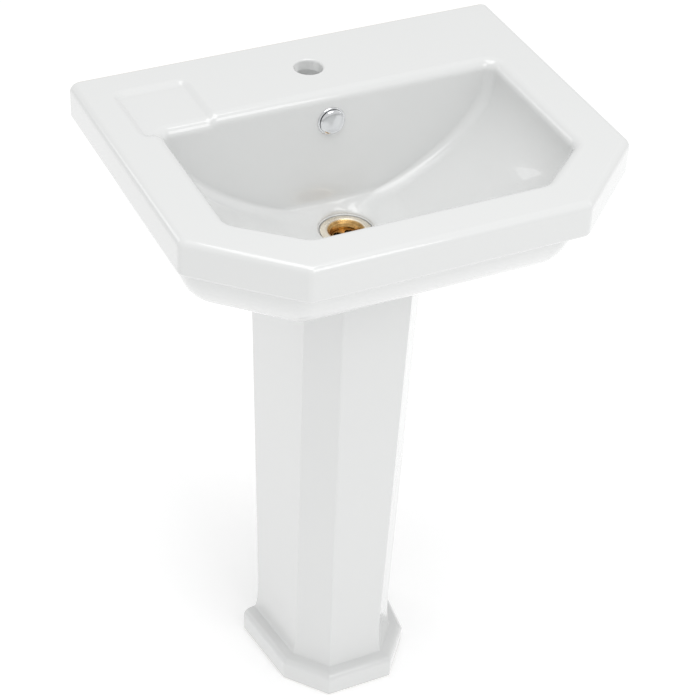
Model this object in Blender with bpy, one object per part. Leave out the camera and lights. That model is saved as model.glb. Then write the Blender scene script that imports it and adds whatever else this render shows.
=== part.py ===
"""Pedestal wash basin with its waste, bottle trap and wall fixings.

Metres, +Z up. The floor is Z = 0, the basin faces -Y and its back stands against
the wall plane at Y = WALL_Y. Most plan sizes are distances from that wall.
"""

import math

import bmesh
import bpy

# Basin, outside
BASIN_WIDTH = 0.560
BASIN_DEPTH = 0.450
RIM_HEIGHT = 0.850
CHAMFER_SIDE = 0.100  # along the side, towards the wall
CHAMFER_FRONT = 0.110  # along the front
CORNER_RADIUS = 0.012
BACK_CORNER_RADIUS = 0.003
RIM_EDGE_RADIUS = 0.010
FASCIA_HEIGHT = 0.046
FASCIA_FOOT_RADIUS = 0.005
DECK_THICKNESS = 0.014
SKIN = 0.012
TIER_BACK = 0.085  # the stepped underside starts this far from the wall
TIER_HEIGHT = 0.075
TIER_INSET_SIDE = 0.011
TIER_INSET_FRONT = 0.026
TIER_INSET_CHAMFER = 0.023
TIER_CORNER = 0.030
TIER_SWEEP = 0.054
BACK_PLATE_WIDTH = 0.400
BACK_PLATE_HEIGHT = 0.115

# Bowl
RIM_SIDE = 0.064  # flat rim from the basin's side to the bowl
RIM_FRONT = 0.059
BOWL_BACK = 0.132  # from the wall
BOWL_CHAMFER_SIDE = 0.060
BOWL_CHAMFER_FRONT = 0.072
BOWL_EDGE_RADIUS = 0.014
BOWL_DEPTH = 0.160
BOWL_SKIN = 0.012
BOWL_END_SHARE = 0.15
BOWL_FULLNESS = 0.85  # lower makes the walls fuller, with a flatter floor
BOWL_CORNER_FRONT = 0.022
BOWL_CORNER_FRONT_GAIN = 0.10  # added by the floor
BOWL_CORNER_BACK = 0.012
BOWL_CORNER_BACK_GAIN = 0.010
BOWL_BACK_LEAN = 0.011  # the back wall leans in by this, top to foot
BOWL_HEEL = 0.022  # turn from the back wall into the floor
DRAIN_BACK = 0.187  # drain centre from the wall

# Soap dish, sunk in the left of the back deck and open to the bowl
DISH_SIDE = 0.037  # from the basin's side
DISH_WIDTH = 0.097
DISH_BACK = 0.036
DISH_DEPTH = 0.0045
DISH_SLOPE = 0.009
DISH_CORNER = 0.014
DISH_END_CORNER = 0.001

# Holes in the basin
TAP_HOLE = 0.035
TAP_HOLE_BACK = 0.065
TAP_HOLE_EDGE = 0.0025
TAP_EDGE_KNEE = 0.3  # share of the edge where its turn begins
OVERFLOW_HOLE = 0.026
OVERFLOW_COVER_LAP = 0.0045  # beyond the hole, all round
OVERFLOW_DROP = 0.037  # below the rim
CLIP_HEAD_INSET = 0.002
CLIP_HEAD = 0.0014
CLIP_LENGTH = 0.008
CLIP_WALL = 0.0012
# Cover, from its crown to the middle of its back: share of the radius, height off the wall
DOME = (
    (0, 0.0068), (0.46, 0.0066), (0.74, 0.0058), (0.93, 0.0044), (1, 0.0028), (1, 0.0018),
    (0.943, 0.0018), (0.77, 0.0034), (0, 0.0042),
)
DUCT_WIDTH = 0.034
DUCT_DEPTH = 0.011
DUCT_MOUTH = 0.013
WASTE_PLAY = 0.0035  # bore in the china over the waste's tail
SEAT_PLAY = 0.003  # seat over the flange
SEAT_EASE = 0.001  # left round the seat by the bowl's floor
WASTE_SEAT_DEPTH = 0.0045
BOSS_HEIGHT = 0.042
BOSS_WALL = 0.006  # beyond the flange

# Pedestal
PEDESTAL_SKIN = 0.011
PEDESTAL_FOOT_BACK = 0.130  # from the wall
PEDESTAL_TOP_BACK = 0.110
PEDESTAL_LIP = 0.018
SHAFT_FOOT_HALF = 0.068
SHAFT_TOP_HALF = 0.079
SHAFT_FOOT_FRONT = 0.272
SHAFT_TOP_FRONT = 0.282
SHAFT_CHAMFER_X = 0.033
SHAFT_CHAMFER_Y = 0.040
SHAFT_SPLAY = 0.12  # sideways per unit towards the wall
SHAFT_ARRIS = 0.003
PLINTH_HEIGHT = 0.034
PLINTH_GROWTH = 0.023  # beyond the foot of the shaft, all round
PLINTH_EDGE = 0.010
PLINTH_FALL = 0.001  # its top slopes down by this, away from the shaft
FLARE_GROWTH = 0.007
FLARE_HEIGHT = 0.052

# Bedding strip between the pedestal and the basin
BEDDING = 0.003
BEDDING_BARE = 0.15  # share of the pedestal's wall left bare on each side
LAND_MARGIN = 0.007
LAND_DROP = 0.0064  # below the bowl's floor

GAP = 0.0003  # between faces that touch
FIT = 0.0004  # radial clearance of threads and sliding fits

# Waste
WASTE_TAIL = 0.0415
WASTE_TUBE = 0.035
WASTE_FLANGE = 0.064
WASTE_FLANGE_EDGE = 0.0016
WASTE_DISH = 0.046
WASTE_CROWN = 0.001  # the dish's edge above the flange's
WASTE_DISH_FALL = 0.003
WASTE_LENGTH = 0.078
WASTE_SLOT_WIDTH = 0.018
WASTE_SLOT_HEIGHT = 0.016
WASTE_GASKET = 0.0018
GASKET_INSET = 0.001
WASHER_INSET = 0.002
STRAINER_DROP = 0.013
STRAINER_THICKNESS = 0.0022
STRAINER_BORE = 0.007
STRAINER_WEB = 0.0018  # left on each side of a window
STRAINER_LEDGE = 0.0015
STRAINER_SHELF = 0.005  # straight bore above the ledge
STRAINER_WINDOWS = 4
UNDER_GASKET = 0.006
SLIP_WASHER = 0.0015
BACKNUT_HEIGHT = 0.010
BACKNUT_WALL = 0.00675

# Bottle trap
PIPE = 0.032
PIPE_WALL = 0.0016
TRAP_NUT_WALL = 0.0036
INLET_NUT_WALL = 0.00435
TRAP_NUT_HEIGHT = 0.022
TRAP_NUT_RIBS = 12
RIB_DEPTH = 0.035  # share of the nut's radius
TRAP_SEAL = 0.003
SEAL_INSET = 0.0005
SEAL_OVERLAP = 0.001
NUT_EDGE = 0.0015
TRAP_LIP = 0.003
TRAP_SHOULDER = 0.0085  # from the neck out to the body
TRAP_BODY_HEIGHT = 0.078
TRAP_BODY_WALL = 0.003
TRAP_SHOULDER_EASE = 0.004
TRAP_RELIEF = 0.003
TRAP_BODY_BELOW_TAIL = 0.052
TRAP_NECK_WALL = 0.0055
TRAP_NECK_HEIGHT = 0.016
OUTLET_BELOW_BODY_TOP = 0.036
OUTLET_SPIGOT = 0.026
OUTLET_NUT_COVER = 0.016  # of the spigot
SPIGOT_SINK = 0.001  # into the body's wall
PORT_INSET = 0.002
TRAP_THREAD = 0.012
THREAD_STEP = 0.0025
CUP_STEP = 0.003  # beyond the body
CUP_HEIGHT = 0.080
CUP_WALL = 0.003
# Cup, share of its radius and height above its foot
CUP_OUTSIDE = ((0.5, 0), (0.82, 0.004), (0.94, 0.012))
CUP_INSIDE = ((0.94, 0.013), (0.80, 0.006))
CUP_EDGE = 0.001
CUP_SKIRT = 0.0015
CUP_SKIRT_TOP = 0.004  # below the thread
CUP_SKIRT_FOOT = 0.006
CUP_THREAD_RUN = 0.002
DIP_BELOW_BODY = 0.050
FLANGE_RADIUS = 0.038
FLANGE_DEPTH = 0.014
# Flange, from its collar out: inset from the outer edge, height off the wall
FLANGE_SLOPE = ((0.008, 0.005), (0.002, 0.0025), (0, 0))
FLANGE_COLLAR = 0.003
FLANGE_COLLAR_EASE = 0.003

# Wall fixings
BOLT = 0.010
BOLT_SPREAD = 0.280
BOLT_DROP = 0.072
BOLT_LENGTH = 0.044  # the part that stands out of the wall
BOLT_CHAMFER = 0.001
SLEEVE_WALL = 0.003
SLEEVE_HEAD_LAP = 0.004
SLEEVE_HEAD_THICKNESS = 0.003
WASHER_LAP = 0.006
WASHER_THICKNESS = 0.002
NUT_WALL = 0.0035
NUT_HEIGHT = 0.008
NUT_BEVEL = 0.06  # share of the width across its flats

# Derived places
WALL_Y = BASIN_DEPTH / 2
HALF_WIDTH = BASIN_WIDTH / 2
DRAIN_Y = WALL_Y - DRAIN_BACK
BOWL_FLOOR = RIM_HEIGHT - BOWL_DEPTH
LAND_Z = BOWL_FLOOR - LAND_DROP
BEDDING_BASE = LAND_Z - GAP - BEDDING
PEDESTAL_HEIGHT = BEDDING_BASE - GAP
BOSS_BASE = BOWL_FLOOR - BOSS_HEIGHT
SEAT_Z = BOWL_FLOOR - WASTE_SEAT_DEPTH
CUTTER_RUN = 0.02  # how far a cutter reaches past the face it opens
BOWL_WIDTH = BASIN_WIDTH - 2 * RIM_SIDE
BOWL_FRONT = BASIN_DEPTH - RIM_FRONT
DISH_LEFT = DISH_SIDE - HALF_WIDTH
DISH_RIGHT = DISH_LEFT + DISH_WIDTH
OVERFLOW_COVER = OVERFLOW_HOLE + 2 * OVERFLOW_COVER_LAP
WASTE_BORE = WASTE_TAIL + WASTE_PLAY
WASTE_SEAT = WASTE_FLANGE + SEAT_PLAY
BOSS_RADIUS = WASTE_FLANGE / 2 + BOSS_WALL
BACKNUT_ACROSS = WASTE_TAIL + 2 * BACKNUT_WALL
TRAP_NECK_RADIUS = PIPE / 2 + TRAP_NECK_WALL
TRAP_NUT = 2 * (TRAP_NECK_RADIUS + FIT + TRAP_NUT_WALL)
INLET_NUT = WASTE_TAIL + 2 * (FIT + INLET_NUT_WALL)
TRAP_BODY_RADIUS = TRAP_NECK_RADIUS + TRAP_SHOULDER
CUP_RADIUS = TRAP_BODY_RADIUS + CUP_STEP
SLEEVE = BOLT + 2 * SLEEVE_WALL
SLEEVE_HEAD = SLEEVE + 2 * SLEEVE_HEAD_LAP
WASHER = BOLT + 2 * WASHER_LAP
NUT_ACROSS = BOLT + 2 * NUT_WALL

ROUND = 24
CORNER_SHARE = 0.46  # of a side, at most, goes into the turn of a corner
THROUGH = 0.2  # longer than any wall that a cutter goes through

CERAMIC = ("glazed_china", (0.86, 0.87, 0.865), 0.08, 0.0)
BRASS = ("polished_brass", (0.72, 0.52, 0.25), 0.18, 1.0)
CHROME = ("chrome_plate", (0.78, 0.79, 0.80), 0.08, 1.0)
STEEL = ("zinc_steel", (0.62, 0.63, 0.65), 0.32, 1.0)
RUBBER = ("black_rubber", (0.03, 0.03, 0.032), 0.75, 0.0)
NYLON = ("white_nylon", (0.82, 0.82, 0.78), 0.45, 0.0)
BEAD = ("bedding_silicone", (0.80, 0.81, 0.80), 0.40, 0.0)


def clear_scene():
    for obj in list(bpy.data.objects):
        bpy.data.objects.remove(obj, do_unlink=True)


def material(spec):
    name, colour, roughness, metallic = spec
    found = bpy.data.materials.get(name)
    if found:
        return found
    made = bpy.data.materials.new(name)
    made.use_nodes = True
    shader = made.node_tree.nodes["Principled BSDF"]
    shader.inputs["Base Color"].default_value = (*colour, 1.0)
    shader.inputs["Roughness"].default_value = roughness
    shader.inputs["Metallic"].default_value = metallic
    made.diffuse_color = (*colour, 1.0)
    return made


def finish(name, bm, spec, location=(0, 0, 0), rotation=(0, 0, 0)):
    bmesh.ops.remove_doubles(bm, verts=bm.verts, dist=1e-6)
    bmesh.ops.recalc_face_normals(bm, faces=bm.faces)
    mesh = bpy.data.meshes.new(name)
    bm.to_mesh(mesh)
    bm.free()
    mesh.shade_smooth()
    mesh.set_sharp_from_angle(angle=math.radians(35))
    obj = bpy.data.objects.new(name, mesh)
    obj.location = location
    obj.rotation_euler = rotation
    bpy.context.scene.collection.objects.link(obj)
    obj.data.materials.append(material(spec))
    return obj


def cut(target, cutter, operation="DIFFERENCE"):
    """Joins or cuts now, so that the target's mesh is final and the helper can go."""
    modifier = target.modifiers.new(cutter.name, "BOOLEAN")
    modifier.operation = operation
    modifier.object = cutter
    bpy.context.view_layer.update()
    graph = bpy.context.evaluated_depsgraph_get()
    mesh = bpy.data.meshes.new_from_object(target.evaluated_get(graph))
    target.modifiers.remove(modifier)
    old = target.data
    target.data = mesh
    mesh.name = target.name
    bpy.data.meshes.remove(old)
    bpy.data.objects.remove(cutter, do_unlink=True)
    return target


def join(target, other):
    return cut(target, other, "UNION")


# Outlines in plan: corners run anticlockwise seen from above, as (x, y).


def offset_outline(corners, insets):
    """The outline with each side moved inwards; insets holds one distance for each side."""
    count = len(corners)
    lines = []
    for i, (x0, y0) in enumerate(corners):
        x1, y1 = corners[(i + 1) % count]
        length = math.hypot(x1 - x0, y1 - y0)
        ux, uy = (x1 - x0) / length, (y1 - y0) / length
        lines.append((x0 - uy * insets[i], y0 + ux * insets[i], ux, uy))
    moved = []
    for i in range(count):
        ax, ay, aux, auy = lines[i - 1]
        bx, by, bux, buy = lines[i]
        cross = aux * buy - auy * bux
        along = ((bx - ax) * buy - (by - ay) * bux) / cross
        moved.append((ax + aux * along, ay + auy * along))
    return moved


def rounded_outline(corners, radii, steps):
    """The outline's points with each corner turned by an arc of steps + 1 points."""
    count = len(corners)
    points = []
    for i, (x, y) in enumerate(corners):
        px, py = corners[i - 1]
        nx, ny = corners[(i + 1) % count]
        before, after = math.hypot(px - x, py - y), math.hypot(nx - x, ny - y)
        ax, ay = (px - x) / before, (py - y) / before
        bx, by = (nx - x) / after, (ny - y) / after
        half = math.acos(max(-1.0, min(1.0, ax * bx + ay * by))) / 2
        tangent = min(radii[i] / math.tan(half), CORNER_SHARE * before, CORNER_SHARE * after)
        radius = tangent * math.tan(half)
        reach = radius / math.sin(half)
        length = math.hypot(ax + bx, ay + by)
        cx, cy = x + (ax + bx) / length * reach, y + (ay + by) / length * reach
        start = math.atan2(y + ay * tangent - cy, x + ax * tangent - cx)
        turn = math.pi - 2 * half
        for k in range(steps + 1):
            angle = start + turn * k / steps
            points.append((cx + radius * math.cos(angle), cy + radius * math.sin(angle)))
    return points


def loft(name, rings, spec):
    """A solid through rings of (x, y, z) points, all with the same count, capped at both ends."""
    bm = bmesh.new()
    loops = [[bm.verts.new(point) for point in ring] for ring in rings]
    for low, high in zip(loops, loops[1:]):
        for i in range(len(low)):
            j = (i + 1) % len(low)
            bm.faces.new((low[i], low[j], high[j], high[i]))
    bmesh.ops.triangulate(bm, faces=bm.faces)
    bm.faces.new(loops[0][::-1])
    bm.faces.new(loops[-1])
    return finish(name, bm, spec)


def at_height(outline, z):
    return [(x, y, z) for x, y in outline]


def lathe(name, profile, spec, location=(0, 0, 0), rotation=(0, 0, 0), segments=ROUND):
    """A turned solid about its own Z from a closed profile of (radius, height) points."""
    bm = bmesh.new()
    verts = [bm.verts.new((r, 0, z)) for r, z in profile]
    edges = [bm.edges.new((verts[i], verts[(i + 1) % len(verts)])) for i in range(len(verts))]
    if all(r > 0 for r, _ in profile):
        shape = verts + edges
    else:
        axis = [e for e in edges if all(v.co.x == 0 for v in e.verts)]
        bmesh.ops.delete(bm, geom=axis, context="EDGES_FACES")
        shape = list(bm.verts) + list(bm.edges)
    bmesh.ops.spin(
        bm, geom=shape, cent=(0, 0, 0), axis=(0, 0, 1), angle=math.tau, steps=segments, use_merge=True
    )
    bmesh.ops.remove_doubles(bm, verts=bm.verts, dist=1e-6)
    return finish(name, bm, spec, location, rotation)


def box(name, low, high, spec=CERAMIC):
    bm = bmesh.new()
    bmesh.ops.create_cube(bm, size=1)
    for vert in bm.verts:
        for i in range(3):
            vert.co[i] = high[i] if vert.co[i] > 0 else low[i]
    return finish(name, bm, spec)


def tube(outer, inner, low, high):
    return [(outer, high), (outer, low), (inner, low), (inner, high)]


def disc(radius, low, high):
    return [(0, high), (radius, high), (radius, low), (0, low)]


def hex_nut(name, across, bore, low, high, spec, location=(0, 0, 0), rotation=(0, 0, 0)):
    radius = across / math.sqrt(3)
    bevel = NUT_BEVEL * across
    nut = lathe(
        name,
        [(radius, high - bevel / 2), (radius, low + bevel / 2), (radius - bevel, low), (bore, low),
         (bore, high), (radius - bevel, high)],
        spec, location, rotation, segments=24,
    )
    for vert in nut.data.vertices:
        x, y = vert.co.x, vert.co.y
        sector = math.radians(60)
        angle = (math.atan2(y, x) % sector) - sector / 2
        flat = across / 2 / math.cos(angle)
        distance = math.hypot(x, y)
        if distance > flat:
            vert.co.x, vert.co.y = x * flat / distance, y * flat / distance
    return nut


def basin_corners():
    side_y = WALL_Y - (BASIN_DEPTH - CHAMFER_SIDE)
    front_y = WALL_Y - BASIN_DEPTH
    half_front = HALF_WIDTH - CHAMFER_FRONT
    return [
        (-HALF_WIDTH, WALL_Y), (-HALF_WIDTH, side_y), (-half_front, front_y),
        (half_front, front_y), (HALF_WIDTH, side_y), (HALF_WIDTH, WALL_Y),
    ]


def bowl_corners():
    back_y = WALL_Y - BOWL_BACK
    side_y = WALL_Y - (BOWL_FRONT - BOWL_CHAMFER_SIDE)
    front_y = WALL_Y - BOWL_FRONT
    half = BOWL_WIDTH / 2
    half_front = half - BOWL_CHAMFER_FRONT
    return [
        (-half, back_y), (-half, side_y), (-half_front, front_y),
        (half_front, front_y), (half, side_y), (half, back_y),
    ]


def slab_insets(inset):
    return [inset, inset, inset, inset, inset, 0]


def slab():
    arc = [math.radians(a) for a in (0, 18, 36, 54, 72, 90)]
    profile = [
        (RIM_EDGE_RADIUS * (1 - math.sin(a)), RIM_EDGE_RADIUS * (1 - math.cos(a))) for a in arc
    ]
    foot = [math.radians(a) for a in (0, 45, 90)]
    profile += [
        (FASCIA_FOOT_RADIUS * (1 - math.cos(a)),
         FASCIA_HEIGHT - FASCIA_FOOT_RADIUS * (1 - math.sin(a))) for a in foot
    ]
    radii = [BACK_CORNER_RADIUS] + [CORNER_RADIUS] * 4 + [BACK_CORNER_RADIUS]
    rings = []
    for inset, depth in reversed(profile):
        outline = offset_outline(basin_corners(), slab_insets(inset))
        rings.append(at_height(rounded_outline(outline, radii, 4), RIM_HEIGHT - depth))
    return loft("basin", rings, CERAMIC)


def tier_outline(share, wall, back):
    """The stepped underside's outline; share runs from 0 at its top to 1 at its foot."""
    sweep = TIER_SWEEP * (1 - math.cos(share * math.pi / 2)) + wall
    insets = [TIER_INSET_SIDE + sweep, TIER_INSET_CHAMFER + sweep, TIER_INSET_FRONT + sweep]
    return offset_outline(basin_corners(), insets + [insets[1], insets[0], back])


def tier():
    rings = []
    for step in range(8, -1, -1):
        share = step / 8
        depth = FASCIA_HEIGHT - SKIN / 2 + (TIER_HEIGHT + SKIN / 2) * math.sin(share * math.pi / 2)
        outline = tier_outline(share, 0, TIER_BACK)
        rings.append(at_height(rounded_outline(outline, [TIER_CORNER] * 6, 4), RIM_HEIGHT - depth))
    return loft("tier", rings, CERAMIC)


def under_cavity():
    """The hollow between the bowl and the outer walls, open below."""
    rings = []
    top = RIM_HEIGHT - DECK_THICKNESS
    fascia = offset_outline(basin_corners(), [SKIN] * 6)
    lowest = tier_outline(1, SKIN, SKIN)
    lowest_ring = rounded_outline(lowest, [CORNER_RADIUS] * 6, 4)
    rings.append(at_height(lowest_ring, RIM_HEIGHT - 2 * BOWL_DEPTH))
    for step in range(6, -1, -1):
        share = step / 6
        depth = FASCIA_HEIGHT - SKIN / 2 + (TIER_HEIGHT + SKIN / 2) * math.sin(share * math.pi / 2)
        outline = tier_outline(share, SKIN, SKIN)
        rings.append(at_height(rounded_outline(outline, [CORNER_RADIUS] * 6, 4), RIM_HEIGHT - depth))
    tight = offset_outline(fascia, [TIER_INSET_CHAMFER - TIER_INSET_SIDE] * 5 + [0])
    rings.append(at_height(rounded_outline(tight, [CORNER_RADIUS] * 6, 4), top))
    return loft("under_cavity", rings, CERAMIC)


def bowl_scale(share):
    return BOWL_END_SHARE + (1 - BOWL_END_SHARE) * (1 - share**2) ** BOWL_FULLNESS


def bowl_back(share):
    """How far the back wall stands behind the drain centre: upright, with a turned heel."""
    stand = DRAIN_BACK - BOWL_BACK - BOWL_BACK_LEAN * share
    height = bowl_depth_at(share) - BOWL_FLOOR
    if height >= BOWL_HEEL:
        return stand
    return stand - BOWL_HEEL + math.sqrt(BOWL_HEEL**2 - (BOWL_HEEL - height) ** 2)


def bowl_ring(share, growth):
    """The bowl's outline at a share of its depth, grown outwards, still a hexagon near the top."""
    scale = bowl_scale(share)
    corners = [(x * scale, DRAIN_Y + (y - DRAIN_Y) * scale) for x, y in bowl_corners()]
    for end in (0, -1):
        corners[end] = (corners[end][0], DRAIN_Y + bowl_back(share))
    front = BOWL_CORNER_FRONT + BOWL_CORNER_FRONT_GAIN * share
    back = BOWL_CORNER_BACK + BOWL_CORNER_BACK_GAIN * share
    grown = offset_outline(corners, [-growth] * 6)
    radii = [back + growth] + [front + growth] * 4 + [back + growth]
    points = rounded_outline(grown, radii, 6)
    if share < 1:
        return points
    radius = WASTE_SEAT / 2 + growth + SEAT_EASE
    centred = [(x, y - DRAIN_Y) for x, y in points]
    lengths = [math.hypot(x, y) for x, y in centred]
    return [
        (x * radius / length, DRAIN_Y + y * radius / length)
        for (x, y), length in zip(centred, lengths)
    ]


def overflow_place():
    """Where the overflow cover stands on the back wall of the bowl, and its turn about X."""
    hole = RIM_HEIGHT - OVERFLOW_DROP
    wall_top = RIM_HEIGHT - BOWL_EDGE_RADIUS

    def back_y(z):
        return DRAIN_Y + bowl_back((wall_top - z) / (wall_top - BOWL_FLOOR))

    reach = OVERFLOW_COVER / 2
    high, low = back_y(hole + reach), back_y(hole - reach)
    tilt = math.atan2(high - low, 2 * reach)
    return (0, (high + low) / 2, hole), (math.pi / 2 - tilt, 0, 0)


BOWL_SHARES = (0, 0.12, 0.24, 0.36, 0.48, 0.58, 0.67, 0.75, 0.82, 0.88, 0.93, 0.97, 1)


def bowl_depth_at(share):
    wall_top = RIM_HEIGHT - BOWL_EDGE_RADIUS
    return wall_top - (wall_top - BOWL_FLOOR) * share


def bowl_space():
    """The space inside the bowl, from above the rim down to the waste seat."""
    rings = [at_height(bowl_ring(s, 0), bowl_depth_at(s)) for s in reversed(BOWL_SHARES)]
    for degrees in (72, 54, 36, 18, 0):
        angle = math.radians(degrees)
        growth = BOWL_EDGE_RADIUS * (1 - math.sin(angle))
        z = RIM_HEIGHT - BOWL_EDGE_RADIUS * (1 - math.cos(angle))
        rings.append(at_height(bowl_ring(0, growth), z))
    rings.append(at_height(bowl_ring(0, BOWL_EDGE_RADIUS), RIM_HEIGHT + CUTTER_RUN))
    return loft("bowl_space", rings, CERAMIC)


def belly():
    """The bowl's outside: its inside grown by the skin."""
    rings = []
    for share in reversed(BOWL_SHARES[::2]):
        z = bowl_depth_at(share) - BOWL_SKIN * share**2
        rings.append(at_height(bowl_ring(share, BOWL_SKIN), z))
    rings.append(at_height(bowl_ring(0, BOWL_SKIN), RIM_HEIGHT - DECK_THICKNESS / 2))
    return loft("belly", rings, CERAMIC)


def pedestal_back(share):
    return PEDESTAL_FOOT_BACK + (PEDESTAL_TOP_BACK - PEDESTAL_FOOT_BACK) * share


def pedestal_corners(share, growth):
    """The shaft's outline at a share of its height, grown outwards on every side but the back."""
    half = SHAFT_FOOT_HALF + (SHAFT_TOP_HALF - SHAFT_FOOT_HALF) * share
    front = SHAFT_FOOT_FRONT + (SHAFT_TOP_FRONT - SHAFT_FOOT_FRONT) * share
    side = front - SHAFT_CHAMFER_Y
    back = pedestal_back(share)
    splay = SHAFT_SPLAY * (side - back)
    corners = [
        (-half - splay, WALL_Y - back), (-half, WALL_Y - side),
        (-half + SHAFT_CHAMFER_X, WALL_Y - front), (half - SHAFT_CHAMFER_X, WALL_Y - front),
        (half, WALL_Y - side), (half + splay, WALL_Y - back),
    ]
    return offset_outline(corners, [-growth] * 5 + [0])


def land():
    """The flat that rests on the pedestal, under the bowl."""
    outline = offset_outline(pedestal_corners(1, LAND_MARGIN), [0] * 5 + [-LAND_MARGIN])
    top = LAND_Z + BOWL_SKIN * 2
    ring = rounded_outline(outline, [CORNER_RADIUS] * 6, 3)
    return loft("land", [at_height(ring, LAND_Z), at_height(ring, top)], CERAMIC)


def dish_space():
    front_y = WALL_Y - BOWL_BACK - BOWL_EDGE_RADIUS
    back_y = WALL_Y - DISH_BACK
    rings = []
    run = CUTTER_RUN * DISH_SLOPE / DISH_DEPTH
    levels = ((DISH_SLOPE, -DISH_DEPTH), (0, 0), (-run, CUTTER_RUN))
    for inset, rise in levels:
        z = RIM_HEIGHT + rise
        corners = [
            (DISH_LEFT + inset, back_y - inset), (DISH_LEFT + inset, front_y),
            (DISH_RIGHT - inset, front_y), (DISH_RIGHT - inset, back_y - inset),
        ]
        radii = [DISH_CORNER, DISH_END_CORNER, DISH_END_CORNER, DISH_CORNER]
        rings.append(at_height(rounded_outline(corners, radii, 4), z))
    return loft("dish_space", rings, CERAMIC)


def basin():
    made = join(slab(), tier())
    plate_low = (-BACK_PLATE_WIDTH / 2, WALL_Y - SKIN, RIM_HEIGHT - BACK_PLATE_HEIGHT)
    made = cut(made, under_cavity())
    plate_high = (BACK_PLATE_WIDTH / 2, WALL_Y, RIM_HEIGHT - DECK_THICKNESS / 2)
    made = join(made, box("back_plate", plate_low, plate_high))
    shell = join(belly(), land())
    boss = lathe("boss", disc(BOSS_RADIUS, BOSS_BASE, BOWL_FLOOR), CERAMIC, (0, DRAIN_Y, 0))
    shell = join(shell, boss)
    duct_front = WALL_Y - BOWL_BACK + BOWL_SKIN
    duct_box = box(
        "duct_box",
        (-DUCT_WIDTH / 2 - BOWL_SKIN, DRAIN_Y, BOSS_BASE),
        (DUCT_WIDTH / 2 + BOWL_SKIN, duct_front + DUCT_DEPTH + BOWL_SKIN / 2,
        RIM_HEIGHT - DECK_THICKNESS / 2),
    )
    made = join(made, join(shell, duct_box))
    made = cut(made, bowl_space())
    made = cut(made, dish_space())
    hole = RIM_HEIGHT - OVERFLOW_DROP
    made = cut(made, box(
        "duct",
        (-DUCT_WIDTH / 2, duct_front - DUCT_DEPTH / 2, BOSS_BASE + BOWL_SKIN / 2),
        (DUCT_WIDTH / 2, duct_front + DUCT_DEPTH / 2, hole + OVERFLOW_HOLE / 2),
    ))
    made = cut(made, box(
        "duct_foot",
        (-DUCT_WIDTH / 3, DRAIN_Y, BOSS_BASE + BOWL_SKIN / 2),
        (DUCT_WIDTH / 3, duct_front, BOSS_BASE + BOWL_SKIN / 2 + DUCT_MOUTH),
    ))
    place, turn = overflow_place()
    made = cut(made, lathe(
        "overflow_cut", disc(OVERFLOW_HOLE / 2, -BOWL_SKIN - DUCT_DEPTH / 2, BOWL_SKIN), CERAMIC, place, turn,
    ))
    made = cut(made, lathe("waste_cut", [
        (0, BOWL_FLOOR + CUTTER_RUN), (WASTE_SEAT / 2, BOWL_FLOOR + CUTTER_RUN), (WASTE_SEAT / 2, SEAT_Z),
        (WASTE_BORE / 2, SEAT_Z), (WASTE_BORE / 2, BOSS_BASE - CUTTER_RUN), (0, BOSS_BASE - CUTTER_RUN),
    ], CERAMIC, (0, DRAIN_Y, 0), segments=28))
    edge, knee = TAP_HOLE_EDGE, TAP_HOLE_EDGE * TAP_EDGE_KNEE
    made = cut(made, lathe("tap_cut", [
        (0, CUTTER_RUN), (TAP_HOLE / 2 + edge, CUTTER_RUN), (TAP_HOLE / 2 + edge, 0),
        (TAP_HOLE / 2 + knee, -knee), (TAP_HOLE / 2, -edge), (TAP_HOLE / 2, -2 * DECK_THICKNESS),
        (0, -2 * DECK_THICKNESS),
    ], CERAMIC, (0, WALL_Y - TAP_HOLE_BACK, RIM_HEIGHT), segments=28))
    for side in (-1, 1):
        made = cut(made, lathe(
            "bolt_cut", disc(SLEEVE / 2 + FIT, -CUTTER_RUN, SKIN + CUTTER_RUN), CERAMIC,
            (side * BOLT_SPREAD / 2, WALL_Y, RIM_HEIGHT - BOLT_DROP), (math.pi / 2, 0, 0), segments=24,
        ))
    return made


def pedestal():
    flare = [math.radians(a) for a in (0, 22, 45, 67, 90)]
    edge = [math.radians(a) for a in (0, 30, 60, 90)]
    levels = [(PLINTH_GROWTH, 0)]
    levels += [
        (PLINTH_GROWTH - PLINTH_EDGE * (1 - math.cos(a)), PLINTH_HEIGHT - PLINTH_EDGE * (1 - math.sin(a)))
        for a in edge
    ]
    levels += [
        (FLARE_GROWTH * (1 - math.sin(a)), PLINTH_HEIGHT + PLINTH_FALL + FLARE_HEIGHT * (1 - math.cos(a)))
        for a in flare
    ]
    levels.append((0, PEDESTAL_HEIGHT))
    rings = []
    for growth, z in levels:
        corners = pedestal_corners(z / PEDESTAL_HEIGHT, growth)
        rings.append(at_height(rounded_outline(corners, [SHAFT_ARRIS] * 6, 2), z))
    made = loft("pedestal", rings, CERAMIC)

    wall = PEDESTAL_SKIN
    rings = []
    for growth, z in [(-wall, -CUTTER_RUN), (-wall, PEDESTAL_HEIGHT + CUTTER_RUN)]:
        corners = offset_outline(pedestal_corners(z / PEDESTAL_HEIGHT, growth), [0] * 5 + [wall])
        rings.append(at_height(rounded_outline(corners, [SHAFT_ARRIS] * 6, 2), z))
    made = cut(made, loft("shaft_space", rings, CERAMIC))
    slot = SHAFT_FOOT_HALF - PEDESTAL_LIP
    return cut(made, box(
        "back_slot",
        (-slot, WALL_Y - PEDESTAL_FOOT_BACK - 2 * wall, -CUTTER_RUN),
        (slot, WALL_Y - PEDESTAL_TOP_BACK + CUTTER_RUN, PEDESTAL_HEIGHT + CUTTER_RUN),
    ))


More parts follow.
